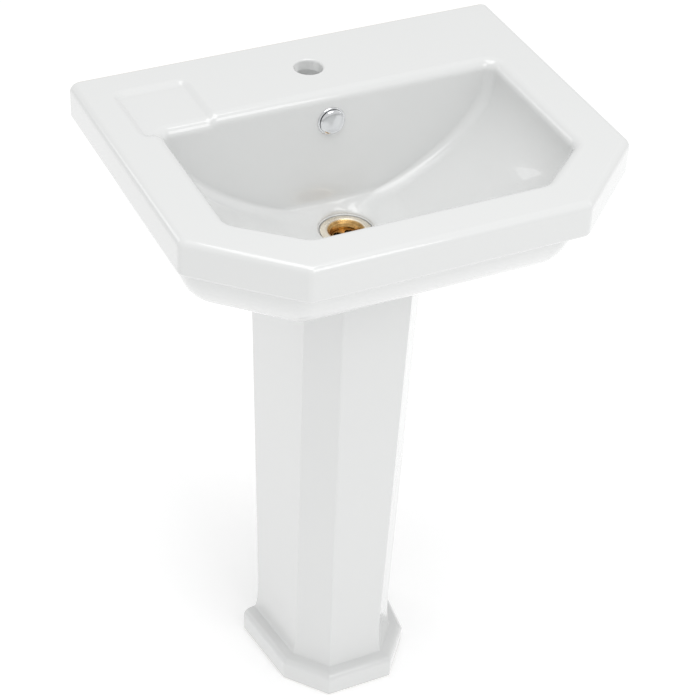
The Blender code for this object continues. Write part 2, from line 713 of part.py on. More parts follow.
def bedding():
    """A U-shaped strip that follows the pedestal's top edge."""
    low, high = BEDDING_BASE, BEDDING_BASE + BEDDING
    outer = pedestal_corners(1, -PEDESTAL_SKIN * BEDDING_BARE)
    outer = offset_outline(outer, [0] * 5 + [PEDESTAL_SKIN * BEDDING_BARE])
    ring = rounded_outline(outer, [SHAFT_ARRIS] * 6, 2)
    made = loft("bedding_strip", [at_height(ring, low), at_height(ring, high)], BEAD)
    inner = pedestal_corners(1, -PEDESTAL_SKIN * (1 - BEDDING_BARE))
    inner = offset_outline(inner, [0] * 5 + [-CUTTER_RUN])
    ring = rounded_outline(inner, [SHAFT_ARRIS] * 6, 2)
    rings = [at_height(ring, low - CUTTER_RUN), at_height(ring, high + CUTTER_RUN)]
    return cut(made, loft("strip_space", rings, BEAD))


def waste():
    at = (0, DRAIN_Y, 0)
    gasket_base = SEAT_Z + GAP
    flange_base = gasket_base + WASTE_GASKET + GAP
    flange_top = flange_base + WASTE_FLANGE_EDGE + WASTE_CROWN
    tail_end = flange_base - WASTE_LENGTH
    ledge = flange_top - STRAINER_DROP
    tail, tube_bore = WASTE_TAIL / 2, WASTE_TUBE / 2
    body = lathe("waste_body", [
        (WASTE_FLANGE / 2, flange_base + WASTE_FLANGE_EDGE), (WASTE_FLANGE / 2, flange_base),
        (tail, flange_base), (tail, tail_end), (tube_bore - STRAINER_LEDGE, tail_end),
        (tube_bore - STRAINER_LEDGE, ledge), (tube_bore, ledge), (tube_bore, ledge + STRAINER_SHELF),
        (WASTE_DISH / 2 - WASTE_DISH_FALL, flange_top - WASTE_DISH_FALL), (WASTE_DISH / 2, flange_top),
    ], BRASS, at, segments=28)
    slot_base = BOSS_BASE + BOWL_SKIN / 2
    body = cut(body, box(
        "slot",
        (-WASTE_SLOT_WIDTH / 2, DRAIN_Y, slot_base),
        (WASTE_SLOT_WIDTH / 2, DRAIN_Y + WASTE_TAIL, slot_base + WASTE_SLOT_HEIGHT),
    ))
    body = cut(body, box(
        "slot",
        (-WASTE_SLOT_WIDTH / 2, DRAIN_Y - WASTE_TAIL, slot_base),
        (WASTE_SLOT_WIDTH / 2, DRAIN_Y, slot_base + WASTE_SLOT_HEIGHT),
    ))
    gasket = tube(WASTE_FLANGE / 2 - GASKET_INSET, tail + FIT, gasket_base, gasket_base + WASTE_GASKET)
    lathe("waste_top_gasket", gasket, RUBBER, at)
    strainer_low = ledge + GAP
    strainer_high = strainer_low + STRAINER_THICKNESS
    strainer = lathe(
        "waste_strainer", tube(tube_bore - GAP, STRAINER_BORE / 2, strainer_low, strainer_high), BRASS, at,
        segments=28,
    )
    reach = (tube_bore + STRAINER_BORE / 2) / 2
    hole = (tube_bore - STRAINER_BORE / 2) / 2 - STRAINER_WEB
    for turn in range(STRAINER_WINDOWS):
        angle = math.tau * (turn + 0.5) / STRAINER_WINDOWS
        window = lathe("window", disc(hole, -CUTTER_RUN / 2, CUTTER_RUN / 2), BRASS,
                       (reach * math.cos(angle), DRAIN_Y + reach * math.sin(angle), strainer_low),
                       segments=20)
        strainer = cut(strainer, window)
    under = BOSS_BASE - GAP
    gasket = tube(WASTE_FLANGE / 2, tail + FIT, under - UNDER_GASKET, under)
    lathe("waste_under_gasket", gasket, RUBBER, at)
    slip = under - UNDER_GASKET - GAP
    washer = tube(WASTE_FLANGE / 2 - WASHER_INSET, tail + FIT, slip - SLIP_WASHER, slip)
    lathe("waste_slip_washer", washer, NYLON, at)
    nut = slip - SLIP_WASHER - GAP
    hex_nut("waste_backnut", BACKNUT_ACROSS, tail + FIT, nut - BACKNUT_HEIGHT, nut, BRASS, at)
    return tail_end


def ribbed_nut(name, radius, profile, location, rotation=(0, 0, 0)):
    """A hand-tightened trap nut: a turned ring whose outside carries even grip ribs."""
    nut = lathe(name, profile, CHROME, location, rotation, segments=TRAP_NUT_RIBS * 3)
    for vert in nut.data.vertices:
        distance = math.hypot(vert.co.x, vert.co.y)
        if distance < radius - 1e-4:
            continue
        angle = math.atan2(vert.co.y, vert.co.x)
        pull = 1 - RIB_DEPTH * (1 - math.cos(TRAP_NUT_RIBS * angle)) / 2
        vert.co.x *= pull
        vert.co.y *= pull
    return nut


def trap(tail_end):
    at = (0, DRAIN_Y, 0)
    pipe, nut, inlet = PIPE / 2, TRAP_NUT / 2, INLET_NUT / 2
    tail = WASTE_TAIL / 2

    # Inlet: the nut screws up the waste's tail and clamps the tube's flange to it.
    seal_top = tail_end - GAP
    seal = tube(tail - SEAL_INSET, pipe - SEAL_OVERLAP, seal_top - TRAP_SEAL, seal_top)
    lathe("trap_inlet_seal", seal, RUBBER, at)
    flange_top = seal_top - TRAP_SEAL - GAP
    flange_base = flange_top - TRAP_LIP
    nut_floor = flange_base - GAP
    nut_base = nut_floor - TRAP_LIP
    ribbed_nut("trap_inlet_nut", inlet, [
        (inlet - NUT_EDGE, nut_base + TRAP_NUT_HEIGHT), (inlet, nut_base + TRAP_NUT_HEIGHT - NUT_EDGE),
        (inlet, nut_base + NUT_EDGE), (inlet - NUT_EDGE, nut_base), (pipe + FIT, nut_base),
        (pipe + FIT, nut_floor),
        (tail + FIT, nut_floor), (tail + FIT, nut_base + TRAP_NUT_HEIGHT),
    ], at)

    body_top = tail_end - TRAP_BODY_BELOW_TAIL
    body_base = body_top - TRAP_BODY_HEIGHT
    dip_end = body_base - DIP_BELOW_BODY
    lathe("trap_inlet_tube", [
        (tail - SEAL_INSET, flange_top), (tail - SEAL_INSET, flange_base), (pipe, flange_base),
        (pipe, dip_end),
        (pipe - PIPE_WALL, dip_end), (pipe - PIPE_WALL, flange_top),
    ], CHROME, at)

    # Body: neck on top, side spigot towards the wall, male thread below.
    neck, bore = TRAP_NECK_RADIUS, TRAP_BODY_RADIUS - TRAP_BODY_WALL
    neck_base = body_top - TRAP_NECK_HEIGHT
    thread = TRAP_BODY_RADIUS - THREAD_STEP
    body = lathe("trap_body", [
        (neck, body_top), (neck, neck_base), (TRAP_BODY_RADIUS - TRAP_SHOULDER_EASE, neck_base),
        (TRAP_BODY_RADIUS, neck_base - TRAP_SHOULDER_EASE), (TRAP_BODY_RADIUS, body_base + TRAP_THREAD),
        (thread, body_base + TRAP_THREAD), (thread, body_base), (thread - TRAP_BODY_WALL, body_base),
        (thread - TRAP_BODY_WALL, body_base + TRAP_THREAD), (bore, body_base + TRAP_THREAD + TRAP_RELIEF),
        (bore, neck_base - TRAP_SHOULDER_EASE), (pipe + FIT, neck_base - TRAP_RELIEF), (pipe + FIT, body_top),
    ], CHROME, at, segments=28)
    outlet_z = body_top - OUTLET_BELOW_BODY_TOP
    spigot_start = DRAIN_Y + bore - SPIGOT_SINK
    spigot_end = DRAIN_Y + TRAP_BODY_RADIUS + OUTLET_SPIGOT
    spigot = lathe(
        "spigot", disc(neck, 0, spigot_end - spigot_start), CHROME,
        (0, spigot_start, outlet_z), (-math.pi / 2, 0, 0),
    )
    body = join(body, spigot)
    bore_cut = lathe(
        "spigot_bore", disc(pipe + FIT, 0, THROUGH), CHROME,
        (0, DRAIN_Y + pipe + PORT_INSET, outlet_z), (-math.pi / 2, 0, 0),
    )
    body = cut(body, bore_cut)

    # Top seal and nut, around the inlet tube where it enters the neck.
    seal_base = body_top + GAP
    seal = tube(neck - SEAL_INSET, pipe + FIT, seal_base, seal_base + TRAP_SEAL)
    lathe("trap_neck_seal", seal, RUBBER, at)
    lid = seal_base + TRAP_SEAL + GAP
    nut_top = lid + TRAP_LIP
    ribbed_nut("trap_neck_nut", nut, [
        (nut - NUT_EDGE, nut_top), (nut, nut_top - NUT_EDGE), (nut, neck_base + GAP * 4 + NUT_EDGE),
        (nut - NUT_EDGE, neck_base + GAP * 4), (neck + FIT, neck_base + GAP * 4), (neck + FIT, lid),
        (pipe + FIT, lid), (pipe + FIT, nut_top),
    ], at)

    # Cup and its seal: the cup's female thread turns on the body's male thread.
    seal_high = body_base + TRAP_THREAD - GAP
    seal_low = seal_high - TRAP_SEAL / 2
    lathe("trap_cup_seal", tube(CUP_RADIUS - CUP_EDGE, thread + FIT, seal_low, seal_high), RUBBER, at)
    cup_top = seal_low - GAP
    cup_bore = thread + FIT
    radius = CUP_RADIUS
    outside = [(radius * share, height - CUP_HEIGHT) for share, height in CUP_OUTSIDE]
    inside = [(radius * share - CUP_WALL, height - CUP_HEIGHT) for share, height in CUP_INSIDE]
    lathe("trap_cup", [
        (0, -CUP_HEIGHT), *outside, (radius - CUP_SKIRT, -TRAP_THREAD - CUP_SKIRT_FOOT),
        (radius, -TRAP_THREAD - CUP_SKIRT_TOP), (radius, -CUP_EDGE), (radius - CUP_EDGE, 0), (cup_bore, 0),
        (cup_bore, -TRAP_THREAD - CUP_THREAD_RUN), (cup_bore - CUP_EDGE, -TRAP_THREAD - CUP_SKIRT_TOP),
        *inside, (0, CUP_WALL - CUP_HEIGHT),
    ], CHROME, (0, DRAIN_Y, cup_top), segments=28)

    # Outlet: nut, seal, pipe to the wall and its cover flange.
    turn = (-math.pi / 2, 0, 0)
    outlet_at = (0, spigot_end, outlet_z)
    seal = tube(neck - SEAL_INSET, pipe + FIT, GAP, GAP + TRAP_SEAL)
    lathe("trap_outlet_seal", seal, RUBBER, outlet_at, turn)
    lid = GAP * 2 + TRAP_SEAL
    back = -OUTLET_NUT_COVER
    ribbed_nut("trap_outlet_nut", nut, [
        (nut - NUT_EDGE, lid + TRAP_LIP), (nut, lid + TRAP_LIP - NUT_EDGE),
        (nut, back + NUT_EDGE), (nut - NUT_EDGE, back),
        (neck + FIT, back), (neck + FIT, lid), (pipe + FIT, lid), (pipe + FIT, lid + TRAP_LIP),
    ], outlet_at, turn)
    pipe_start = DRAIN_Y + TRAP_BODY_RADIUS + PORT_INSET
    run = tube(pipe, pipe - PIPE_WALL, 0, WALL_Y - pipe_start)
    lathe("waste_pipe", run, CHROME, (0, pipe_start, outlet_z), turn)
    slope = [(FLANGE_RADIUS - inset, height) for inset, height in FLANGE_SLOPE]
    collar = pipe + FLANGE_COLLAR
    lathe("wall_flange", [
        (pipe + FIT, FLANGE_DEPTH), (collar, FLANGE_DEPTH),
        (collar + FLANGE_COLLAR_EASE, FLANGE_DEPTH - FLANGE_COLLAR_EASE), *slope, (pipe + FIT, 0),
    ], CHROME, (0, WALL_Y, outlet_z), (math.pi / 2, 0, 0))


def overflow_cover():
    """A plain domed cover that clips into the overflow hole, with a gap behind its edge."""
    at, turn = overflow_place()
    edge = OVERFLOW_COVER / 2
    lathe("overflow_cover", [(edge * share, height) for share, height in DOME], CHROME, at, turn)
    head, stem = edge - CLIP_HEAD_INSET, OVERFLOW_HOLE / 2 - FIT
    lathe("overflow_clip", [
        (head, CLIP_HEAD), (head, GAP), (stem, GAP), (stem, -CLIP_LENGTH), (stem - CLIP_WALL, -CLIP_LENGTH),
        (stem - CLIP_WALL, CLIP_HEAD),
    ], NYLON, at, turn)


def wall_fixings():
    turn = (math.pi / 2, 0, 0)
    for side, sign in (("left", -1), ("right", 1)):
        at = (sign * BOLT_SPREAD / 2, WALL_Y, RIM_HEIGHT - BOLT_DROP)
        lathe(f"wall_bolt_{side}", [
            (0, BOLT_LENGTH), (BOLT / 2 - BOLT_CHAMFER, BOLT_LENGTH), (BOLT / 2, BOLT_LENGTH - BOLT_CHAMFER),
            (BOLT / 2, 0), (0, 0),
        ], STEEL, at, turn, segments=24)
        head = SKIN + GAP
        lathe(f"bolt_sleeve_{side}", [
            (SLEEVE_HEAD / 2, head + SLEEVE_HEAD_THICKNESS), (SLEEVE_HEAD / 2, head), (SLEEVE / 2, head),
            (SLEEVE / 2, GAP), (BOLT / 2 + FIT, GAP), (BOLT / 2 + FIT, head + SLEEVE_HEAD_THICKNESS),
        ], NYLON, at, turn, segments=28)
        washer = head + SLEEVE_HEAD_THICKNESS + GAP
        lathe(f"bolt_washer_{side}", tube(WASHER / 2, BOLT / 2 + FIT, washer, washer + WASHER_THICKNESS),
              STEEL, at, turn, segments=28)
        nut = washer + WASHER_THICKNESS + GAP
        hex_nut(f"bolt_nut_{side}", NUT_ACROSS, BOLT / 2 + FIT, nut, nut + NUT_HEIGHT, STEEL, at, turn)


clear_scene()
basin()
pedestal()
bedding()
trap(waste())
overflow_cover()
wall_fixings()
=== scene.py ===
import math

import bmesh
import bpy
from mathutils import Euler, Matrix, Vector


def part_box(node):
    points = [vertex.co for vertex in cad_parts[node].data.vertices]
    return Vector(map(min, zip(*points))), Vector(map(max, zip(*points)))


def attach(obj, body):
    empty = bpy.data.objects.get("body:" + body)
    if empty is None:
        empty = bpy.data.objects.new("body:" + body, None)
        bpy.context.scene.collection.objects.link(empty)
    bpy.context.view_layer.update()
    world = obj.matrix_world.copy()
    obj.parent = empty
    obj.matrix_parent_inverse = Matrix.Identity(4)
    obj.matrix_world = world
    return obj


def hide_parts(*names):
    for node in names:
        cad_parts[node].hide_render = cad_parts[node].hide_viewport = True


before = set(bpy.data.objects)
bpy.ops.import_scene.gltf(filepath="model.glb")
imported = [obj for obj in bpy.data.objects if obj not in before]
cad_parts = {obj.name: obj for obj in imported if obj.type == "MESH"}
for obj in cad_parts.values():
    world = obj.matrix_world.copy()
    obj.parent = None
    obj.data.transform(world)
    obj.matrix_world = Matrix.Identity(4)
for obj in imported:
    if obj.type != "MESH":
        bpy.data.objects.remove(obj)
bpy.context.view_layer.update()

basinLow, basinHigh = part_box("basin")
wasteLow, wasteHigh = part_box("waste_body")
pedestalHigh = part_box("pedestal")[1]
wallY = basinHigh.y
rimZ = basinHigh.z
frontY = basinLow.y
halfWidth = basinHigh.x
drainY = (wasteLow.y + wasteHigh.y) / 2

# the gap under a piece that rests on another, the play round one that slides, and a cutter's overrun
tiny = 0.0003
fit = 0.0004
overrun = 0.02

# distances under which points are one point, or stand on the lathe's axis, and the grid that names a point
mergeWithin = 1e-6
axisWithin = 1e-7
gridPerMetre = 1e7

# the most of a side that one corner's arc may take, and half the angle of a corner too flat to ease
easedShare = 0.48
softShare = 0.46
nearlyStraight = math.radians(88)

# turns that bring a lathe's upright axis to the drain, to the outlet and to the wall fixings
standing, outlet, fixing = (0, 0, 0), (-math.pi / 2, 0, 0), (math.pi / 2, 0, 0)


def letGo():
    if bpy.context.object and bpy.context.object.mode != "OBJECT":
        bpy.ops.object.mode_set(mode="OBJECT")
    bpy.ops.object.select_all(action="DESELECT")


def pick(obj):
    letGo()
    obj.select_set(True)
    bpy.context.view_layer.objects.active = obj


def useModifier(obj, kind, **settings):
    pick(obj)
    modifier = obj.modifiers.new("step", kind)
    for key, value in settings.items():
        setattr(modifier, key, value)
    bpy.ops.object.modifier_apply(modifier="step")


def carve(target, cutter, operation="DIFFERENCE"):
    useModifier(target, "BOOLEAN", operation=operation, object=cutter, solver="EXACT")
    bpy.data.objects.remove(cutter, do_unlink=True)
    return target


def weld(target, other):
    return carve(target, other, "UNION")


def closeUp(obj):
    # merges doubles and turns every face outwards
    pick(obj)
    bpy.ops.object.mode_set(mode="EDIT")
    bpy.ops.mesh.select_all(action="SELECT")
    bpy.ops.mesh.remove_doubles(threshold=mergeWithin)
    bpy.ops.mesh.normals_make_consistent(inside=False)
    bpy.ops.object.mode_set(mode="OBJECT")


def smooth(obj, degrees=32):
    pick(obj)
    bpy.ops.object.shade_smooth_by_angle(angle=math.radians(degrees))
    useModifier(obj, "WEIGHTED_NORMAL", mode="FACE_AREA", weight=50, keep_sharp=True)


def pointKey(point):
    return tuple(round(value * gridPerMetre) for value in point)


def drawThrough(name, rings):
    # an edge circle laid on the first ring, extruded from ring to ring, then filled at both ends
    letGo()
    bpy.ops.mesh.primitive_circle_add(vertices=len(rings[0]), fill_type="NOTHING")
    obj = bpy.context.object
    obj.name = obj.data.name = name
    for vert, place in zip(obj.data.vertices, rings[0]):
        vert.co = place
    bpy.ops.object.mode_set(mode="EDIT")
    bpy.ops.mesh.select_all(action="SELECT")
    last = [vert.co.copy() for vert in bmesh.from_edit_mesh(obj.data).verts]
    for ring in rings[1:]:
        bpy.ops.mesh.extrude_edges_move()
        shape = bmesh.from_edit_mesh(obj.data)
        order = {pointKey(place): i for i, place in enumerate(last)}
        for vert in [v for v in shape.verts if v.select]:
            vert.co = ring[order[pointKey(vert.co)]]
        bmesh.update_edit_mesh(obj.data)
        last = [Vector(place) for place in ring]
    bpy.ops.mesh.edge_face_add()
    bpy.ops.mesh.select_all(action="DESELECT")
    shape = bmesh.from_edit_mesh(obj.data)
    shape.verts.ensure_lookup_table()
    for edge in shape.edges:
        edge.select_set(edge.is_boundary)
    bpy.ops.mesh.edge_face_add()
    bpy.ops.object.mode_set(mode="OBJECT")
    closeUp(obj)
    return obj


def placed(obj, place, turn):
    obj.data.transform(Matrix.Translation(place) @ Euler(turn).to_matrix().to_4x4())
    return obj


def turned(name, profile, place=(0, 0, 0), turn=(0, 0, 0), steps=96):
    # a closed outline of (radius, height) points spun about its own upright axis
    letGo()
    bpy.ops.mesh.primitive_circle_add(vertices=len(profile), fill_type="NOTHING")
    obj = bpy.context.object
    obj.name = obj.data.name = name
    for vert, (radius, height) in zip(obj.data.vertices, profile):
        vert.co = (radius, 0, height)
    bpy.ops.object.mode_set(mode="EDIT")
    bpy.ops.mesh.select_all(action="DESELECT")
    shape = bmesh.from_edit_mesh(obj.data)
    onAxis = [edge for edge in shape.edges if all(vert.co.x < axisWithin for vert in edge.verts)]
    for edge in onAxis:
        edge.select_set(True)
    if onAxis:
        bpy.ops.mesh.delete(type="EDGE")
    bpy.ops.mesh.select_all(action="SELECT")
    bpy.ops.mesh.spin(steps=steps, angle=math.tau, center=(0, 0, 0), axis=(0, 0, 1))
    bpy.ops.object.mode_set(mode="OBJECT")
    closeUp(obj)
    return placed(obj, place, turn)


def block(name, low, high):
    letGo()
    bpy.ops.mesh.primitive_cube_add(size=1)
    obj = bpy.context.object
    obj.name = obj.data.name = name
    for vert in obj.data.vertices:
        vert.co = [high[i] if vert.co[i] > 0 else low[i] for i in range(3)]
    return obj


def eased(points, steps=5):
    # (radius, height, easing) corners of a closed outline, each rounded by an arc where its easing isn't 0
    made = []
    count = len(points)
    for i, (x, y, easing) in enumerate(points):
        before, after = Vector(points[i - 1][:2]), Vector(points[(i + 1) % count][:2])
        here = Vector((x, y))
        back, ahead = before - here, after - here
        if easing == 0:
            made.append((x, y))
            continue
        reachBack, reachAhead = back.length, ahead.length
        back.normalize()
        ahead.normalize()
        half = back.angle(ahead) / 2
        if half > nearlyStraight:
            made.append((x, y))
            continue
        tangent = min(easing / math.tan(half), easedShare * reachBack, easedShare * reachAhead)
        radius = tangent * math.tan(half)
        centre = here + (back + ahead).normalized() * radius / math.sin(half)
        first, final = here + back * tangent - centre, here + ahead * tangent - centre
        sweep = first.angle_signed(final)
        for k in range(steps + 1):
            arm = first.copy()
            arm.rotate(Matrix.Rotation(-sweep * k / steps, 2))
            made.append((centre.x + arm.x, centre.y + arm.y))
    return made


def shrunk(corners, insets):
    # each side of an outline moved inwards by its own distance
    count = len(corners)
    lines = []
    for i, (x0, y0) in enumerate(corners):
        x1, y1 = corners[(i + 1) % count]
        length = math.hypot(x1 - x0, y1 - y0)
        ux, uy = (x1 - x0) / length, (y1 - y0) / length
        lines.append((x0 - uy * insets[i], y0 + ux * insets[i], ux, uy))
    moved = []
    for i in range(count):
        ax, ay, aux, auy = lines[i - 1]
        bx, by, bux, buy = lines[i]
        cross = aux * buy - auy * bux
        along = ((bx - ax) * buy - (by - ay) * bux) / cross
        moved.append((ax + aux * along, ay + auy * along))
    return moved


def softOutline(corners, radii, arcSteps, sideSteps):
    # arcs at the corners and even points along each side, always the same count
    count = len(corners)
    arcs = []
    for i, (x, y) in enumerate(corners):
        before, after = Vector(corners[i - 1]), Vector(corners[(i + 1) % count])
        here = Vector((x, y))
        back, ahead = before - here, after - here
        reachBack, reachAhead = back.length, ahead.length
        back.normalize()
        ahead.normalize()
        half = back.angle(ahead) / 2
        tangent = min(radii[i] / math.tan(half), softShare * reachBack, softShare * reachAhead)
        radius = tangent * math.tan(half)
        centre = here + (back + ahead).normalized() * radius / math.sin(half)
        first = here + back * tangent - centre
        start = math.atan2(first.y, first.x)
        sweep = math.pi - 2 * half
        arcs.append([
            (centre.x + radius * math.cos(start + sweep * k / arcSteps),
             centre.y + radius * math.sin(start + sweep * k / arcSteps))
            for k in range(arcSteps + 1)
        ])
    points = []
    for i in range(count):
        points += arcs[i]
        (x0, y0), (x1, y1) = arcs[i][-1], arcs[(i + 1) % count][0]
        for k in range(1, sideSteps[i]):
            share = k / sideSteps[i]
            points.append((x0 + (x1 - x0) * share, y0 + (y1 - y0) * share))
    return points


def atHeight(outline, z):
    return [(x, y, z) for x, y in outline]


def quarter(steps, start=0, end=90):
    return [math.radians(start + (end - start) * k / steps) for k in range(steps + 1)]


def easedStep(share):
    # 0 to 1 with a level start and finish
    return share * share * (3 - 2 * share)


def newGroup(name, inputs, outputs):
    group = bpy.data.node_groups.new(name, "ShaderNodeTree")
    for label, kind, value in inputs:
        socket = group.interface.new_socket(name=label, in_out="INPUT", socket_type=kind)
        if value is not None:
            socket.default_value = value
    for label, kind in outputs:
        group.interface.new_socket(name=label, in_out="OUTPUT", socket_type=kind)
    return group, group.nodes.new("NodeGroupInput"), group.nodes.new("NodeGroupOutput")


def addNode(tree, kind, **settings):
    node = tree.nodes.new(kind)
    for key, value in settings.items():
        if key in node.inputs:
            node.inputs[key].default_value = value
        else:
            setattr(node, key, value)
    return node


def mapRange(tree, start, full):
    # 0 at start and 1 at full, whichever of them is the greater
    node = addNode(tree, "ShaderNodeMapRange")
    node.inputs["From Min"].default_value = start
    node.inputs["From Max"].default_value = full
    return node


def makeMottle():
    # slow drift between two tones, with a height for the ripple of the surface
    group, given, result = newGroup(
        "mottle",
        [("Vector", "NodeSocketVector", None), ("Scale", "NodeSocketFloat", 8.0),
         ("Low", "NodeSocketFloat", 0.0), ("High", "NodeSocketFloat", 1.0),
         ("Tone A", "NodeSocketColor", (0.8, 0.8, 0.8, 1)),
         ("Tone B", "NodeSocketColor", (0.7, 0.7, 0.7, 1))],
        [("Color", "NodeSocketColor"), ("Value", "NodeSocketFloat"), ("Mask", "NodeSocketFloat")],
    )
    noise = addNode(group, "ShaderNodeTexNoise", Detail=4.0, Roughness=0.55)
    spread = mapRange(group, 0.32, 0.68)
    mix = addNode(group, "ShaderNodeMix", data_type="RGBA")
    level = addNode(group, "ShaderNodeMapRange")
    link = group.links.new
    link(given.outputs["Vector"], noise.inputs["Vector"])
    link(given.outputs["Scale"], noise.inputs["Scale"])
    link(noise.outputs["Fac"], spread.inputs["Value"])
    link(spread.outputs["Result"], mix.inputs["Factor"])
    link(given.outputs["Tone A"], mix.inputs["A"])
    link(given.outputs["Tone B"], mix.inputs["B"])
    link(spread.outputs["Result"], level.inputs["Value"])
    link(given.outputs["Low"], level.inputs["To Min"])
    link(given.outputs["High"], level.inputs["To Max"])
    link(mix.outputs["Result"], result.inputs["Color"])
    link(level.outputs["Result"], result.inputs["Value"])
    link(spread.outputs["Result"], result.inputs["Mask"])
    return group


def makeTooling():
    # fine rings about the drain's axis, as a lathe leaves them
    group, given, result = newGroup(
        "tooling",
        [("Vector", "NodeSocketVector", None), ("Scale", "NodeSocketFloat", 400.0)],
        [("Height", "NodeSocketFloat")],
    )
    wave = addNode(group, "ShaderNodeTexWave", wave_type="RINGS", rings_direction="Z", Distortion=0.6)
    wave.inputs["Detail"].default_value = 1.0
    link = group.links.new
    link(given.outputs["Vector"], wave.inputs["Vector"])
    link(given.outputs["Scale"], wave.inputs["Scale"])
    link(wave.outputs["Fac"], result.inputs["Height"])
    return group


mottle = makeMottle()
tooling = makeTooling()

finishes = {
    "glaze": dict(toneA=(0.730, 0.737, 0.733), toneB=(0.727, 0.735, 0.731), rough=(0.25, 0.265), scale=5.0,
                  metallic=0.0, coat=1.0, coatRough=0.03, ior=1.5, ripple=0.003, rippleScale=16.0,
                  # the glaze's near black inside tone is painted shade for the basin's hollow and underside
                  clay=(0.66, 0.63, 0.57), hollow=(0.07, 0.068, 0.064)),
    "brass": dict(toneA=(0.66, 0.42, 0.17), toneB=(0.44, 0.26, 0.09), rough=(0.16, 0.30), scale=90.0,
                  # the brass's near white tint on the flange is a painted reflection
                  metallic=1.0, ripple=0.05, rippleScale=700.0, rings=900.0, paintedReflection=(0.93, 0.86, 0.74),
                  reflectionFrom=0.0222, reflectionTo=0.0242),
    "chrome": dict(toneA=(0.80, 0.81, 0.82), toneB=(0.74, 0.75, 0.77), rough=(0.05, 0.13), scale=30.0,
                   metallic=1.0, ripple=0.015, rippleScale=120.0),
    "steel": dict(toneA=(0.62, 0.63, 0.65), toneB=(0.50, 0.51, 0.52), rough=(0.28, 0.42), scale=120.0,
                  metallic=1.0, ripple=0.08, rippleScale=900.0),
    "rubber": dict(toneA=(0.030, 0.030, 0.032), toneB=(0.050, 0.050, 0.052), rough=(0.62, 0.80), scale=90.0,
                   metallic=0.0, ior=1.5, ripple=0.10, rippleScale=1200.0),
    "nylon": dict(toneA=(0.80, 0.80, 0.76), toneB=(0.74, 0.74, 0.69), rough=(0.38, 0.50), scale=60.0,
                  metallic=0.0, ior=1.53, ripple=0.05, rippleScale=800.0),
    "bedding": dict(toneA=(0.74, 0.75, 0.74), toneB=(0.66, 0.67, 0.66), rough=(0.34, 0.48), scale=50.0,
                    metallic=0.0, ior=1.41, ripple=0.12, rippleScale=160.0),
}


# heights above the floor and distances from the wall at which bare clay starts and is full
bareClay = dict(floorFrom=0.0014, floorFull=0.0004, wallFrom=0.0012, wallFull=0.0004)
latheMark = dict(Strength=0.06, Distance=0.0005)
rippleHeight = 0.001


def addLathe(tree, place, bump, spec):
    # rings about the drain, laid over the ripple
    centre = addNode(tree, "ShaderNodeMapping")
    centre.inputs["Location"].default_value = (0, -drainY, 0)
    tree.links.new(place.outputs["Object"], centre.inputs["Vector"])
    lathe = addNode(tree, "ShaderNodeGroup", node_tree=tooling)
    lathe.inputs["Scale"].default_value = spec["rings"]
    tree.links.new(centre.outputs["Vector"], lathe.inputs["Vector"])
    normal = addNode(tree, "ShaderNodeBump", **latheMark)
    tree.links.new(lathe.outputs["Height"], normal.inputs["Height"])
    tree.links.new(bump.outputs["Normal"], normal.inputs["Normal"])
    return centre, normal


def addPaintedReflection(tree, centre, colour, spec):
    # the polished flange takes a near white tint, a painted reflection of the bright studio, paler than the
    # dish inside it
    link = tree.links.new
    flat = addNode(tree, "ShaderNodeMapping")
    flat.inputs["Scale"].default_value = (1, 1, 0)
    link(centre.outputs["Vector"], flat.inputs["Vector"])
    reach = addNode(tree, "ShaderNodeVectorMath", operation="LENGTH")
    link(flat.outputs["Vector"], reach.inputs[0])
    outer = mapRange(tree, spec["reflectionFrom"], spec["reflectionTo"])
    link(reach.outputs["Value"], outer.inputs["Value"])
    reflection = addNode(tree, "ShaderNodeMix", data_type="RGBA")
    reflection.inputs["B"].default_value = (*spec["paintedReflection"], 1)
    link(outer.outputs["Result"], reflection.inputs["Factor"])
    link(colour, reflection.inputs["A"])
    return reflection.outputs["Result"]


def addBareClay(tree, place, colour, shader, spec):
    # the foot and the wall side are bare fired clay; the inside is bare clay too and is painted near black as
    # painted shade, and none of them has a coat
    link = tree.links.new
    split = addNode(tree, "ShaderNodeSeparateXYZ")
    link(place.outputs["Object"], split.inputs["Vector"])
    low = mapRange(tree, bareClay["floorFrom"], bareClay["floorFull"])
    link(split.outputs["Z"], low.inputs["Value"])
    back = mapRange(tree, wallY - bareClay["wallFrom"], wallY - bareClay["wallFull"])
    link(split.outputs["Y"], back.inputs["Value"])
    edges = addNode(tree, "ShaderNodeMath", operation="MAXIMUM")
    link(low.outputs["Result"], edges.inputs[0])
    link(back.outputs["Result"], edges.inputs[1])
    hollow = addNode(tree, "ShaderNodeAttribute", attribute_name="hollow")
    bare = addNode(tree, "ShaderNodeMath", operation="MAXIMUM")
    link(edges.outputs["Value"], bare.inputs[0])
    link(hollow.outputs["Fac"], bare.inputs[1])
    clay = addNode(tree, "ShaderNodeMix", data_type="RGBA")
    clay.inputs["A"].default_value = (*spec["clay"], 1)
    clay.inputs["B"].default_value = (*spec["hollow"], 1)
    link(hollow.outputs["Fac"], clay.inputs["Factor"])
    mix = addNode(tree, "ShaderNodeMix", data_type="RGBA")
    link(clay.outputs["Result"], mix.inputs["B"])
    link(bare.outputs["Value"], mix.inputs["Factor"])
    link(colour, mix.inputs["A"])
    shine = addNode(tree, "ShaderNodeMath", operation="SUBTRACT")
    shine.inputs[0].default_value = 1.0
    link(bare.outputs["Value"], shine.inputs[1])
    link(shine.outputs["Value"], shader.inputs["Coat Weight"])
    return mix.outputs["Result"]


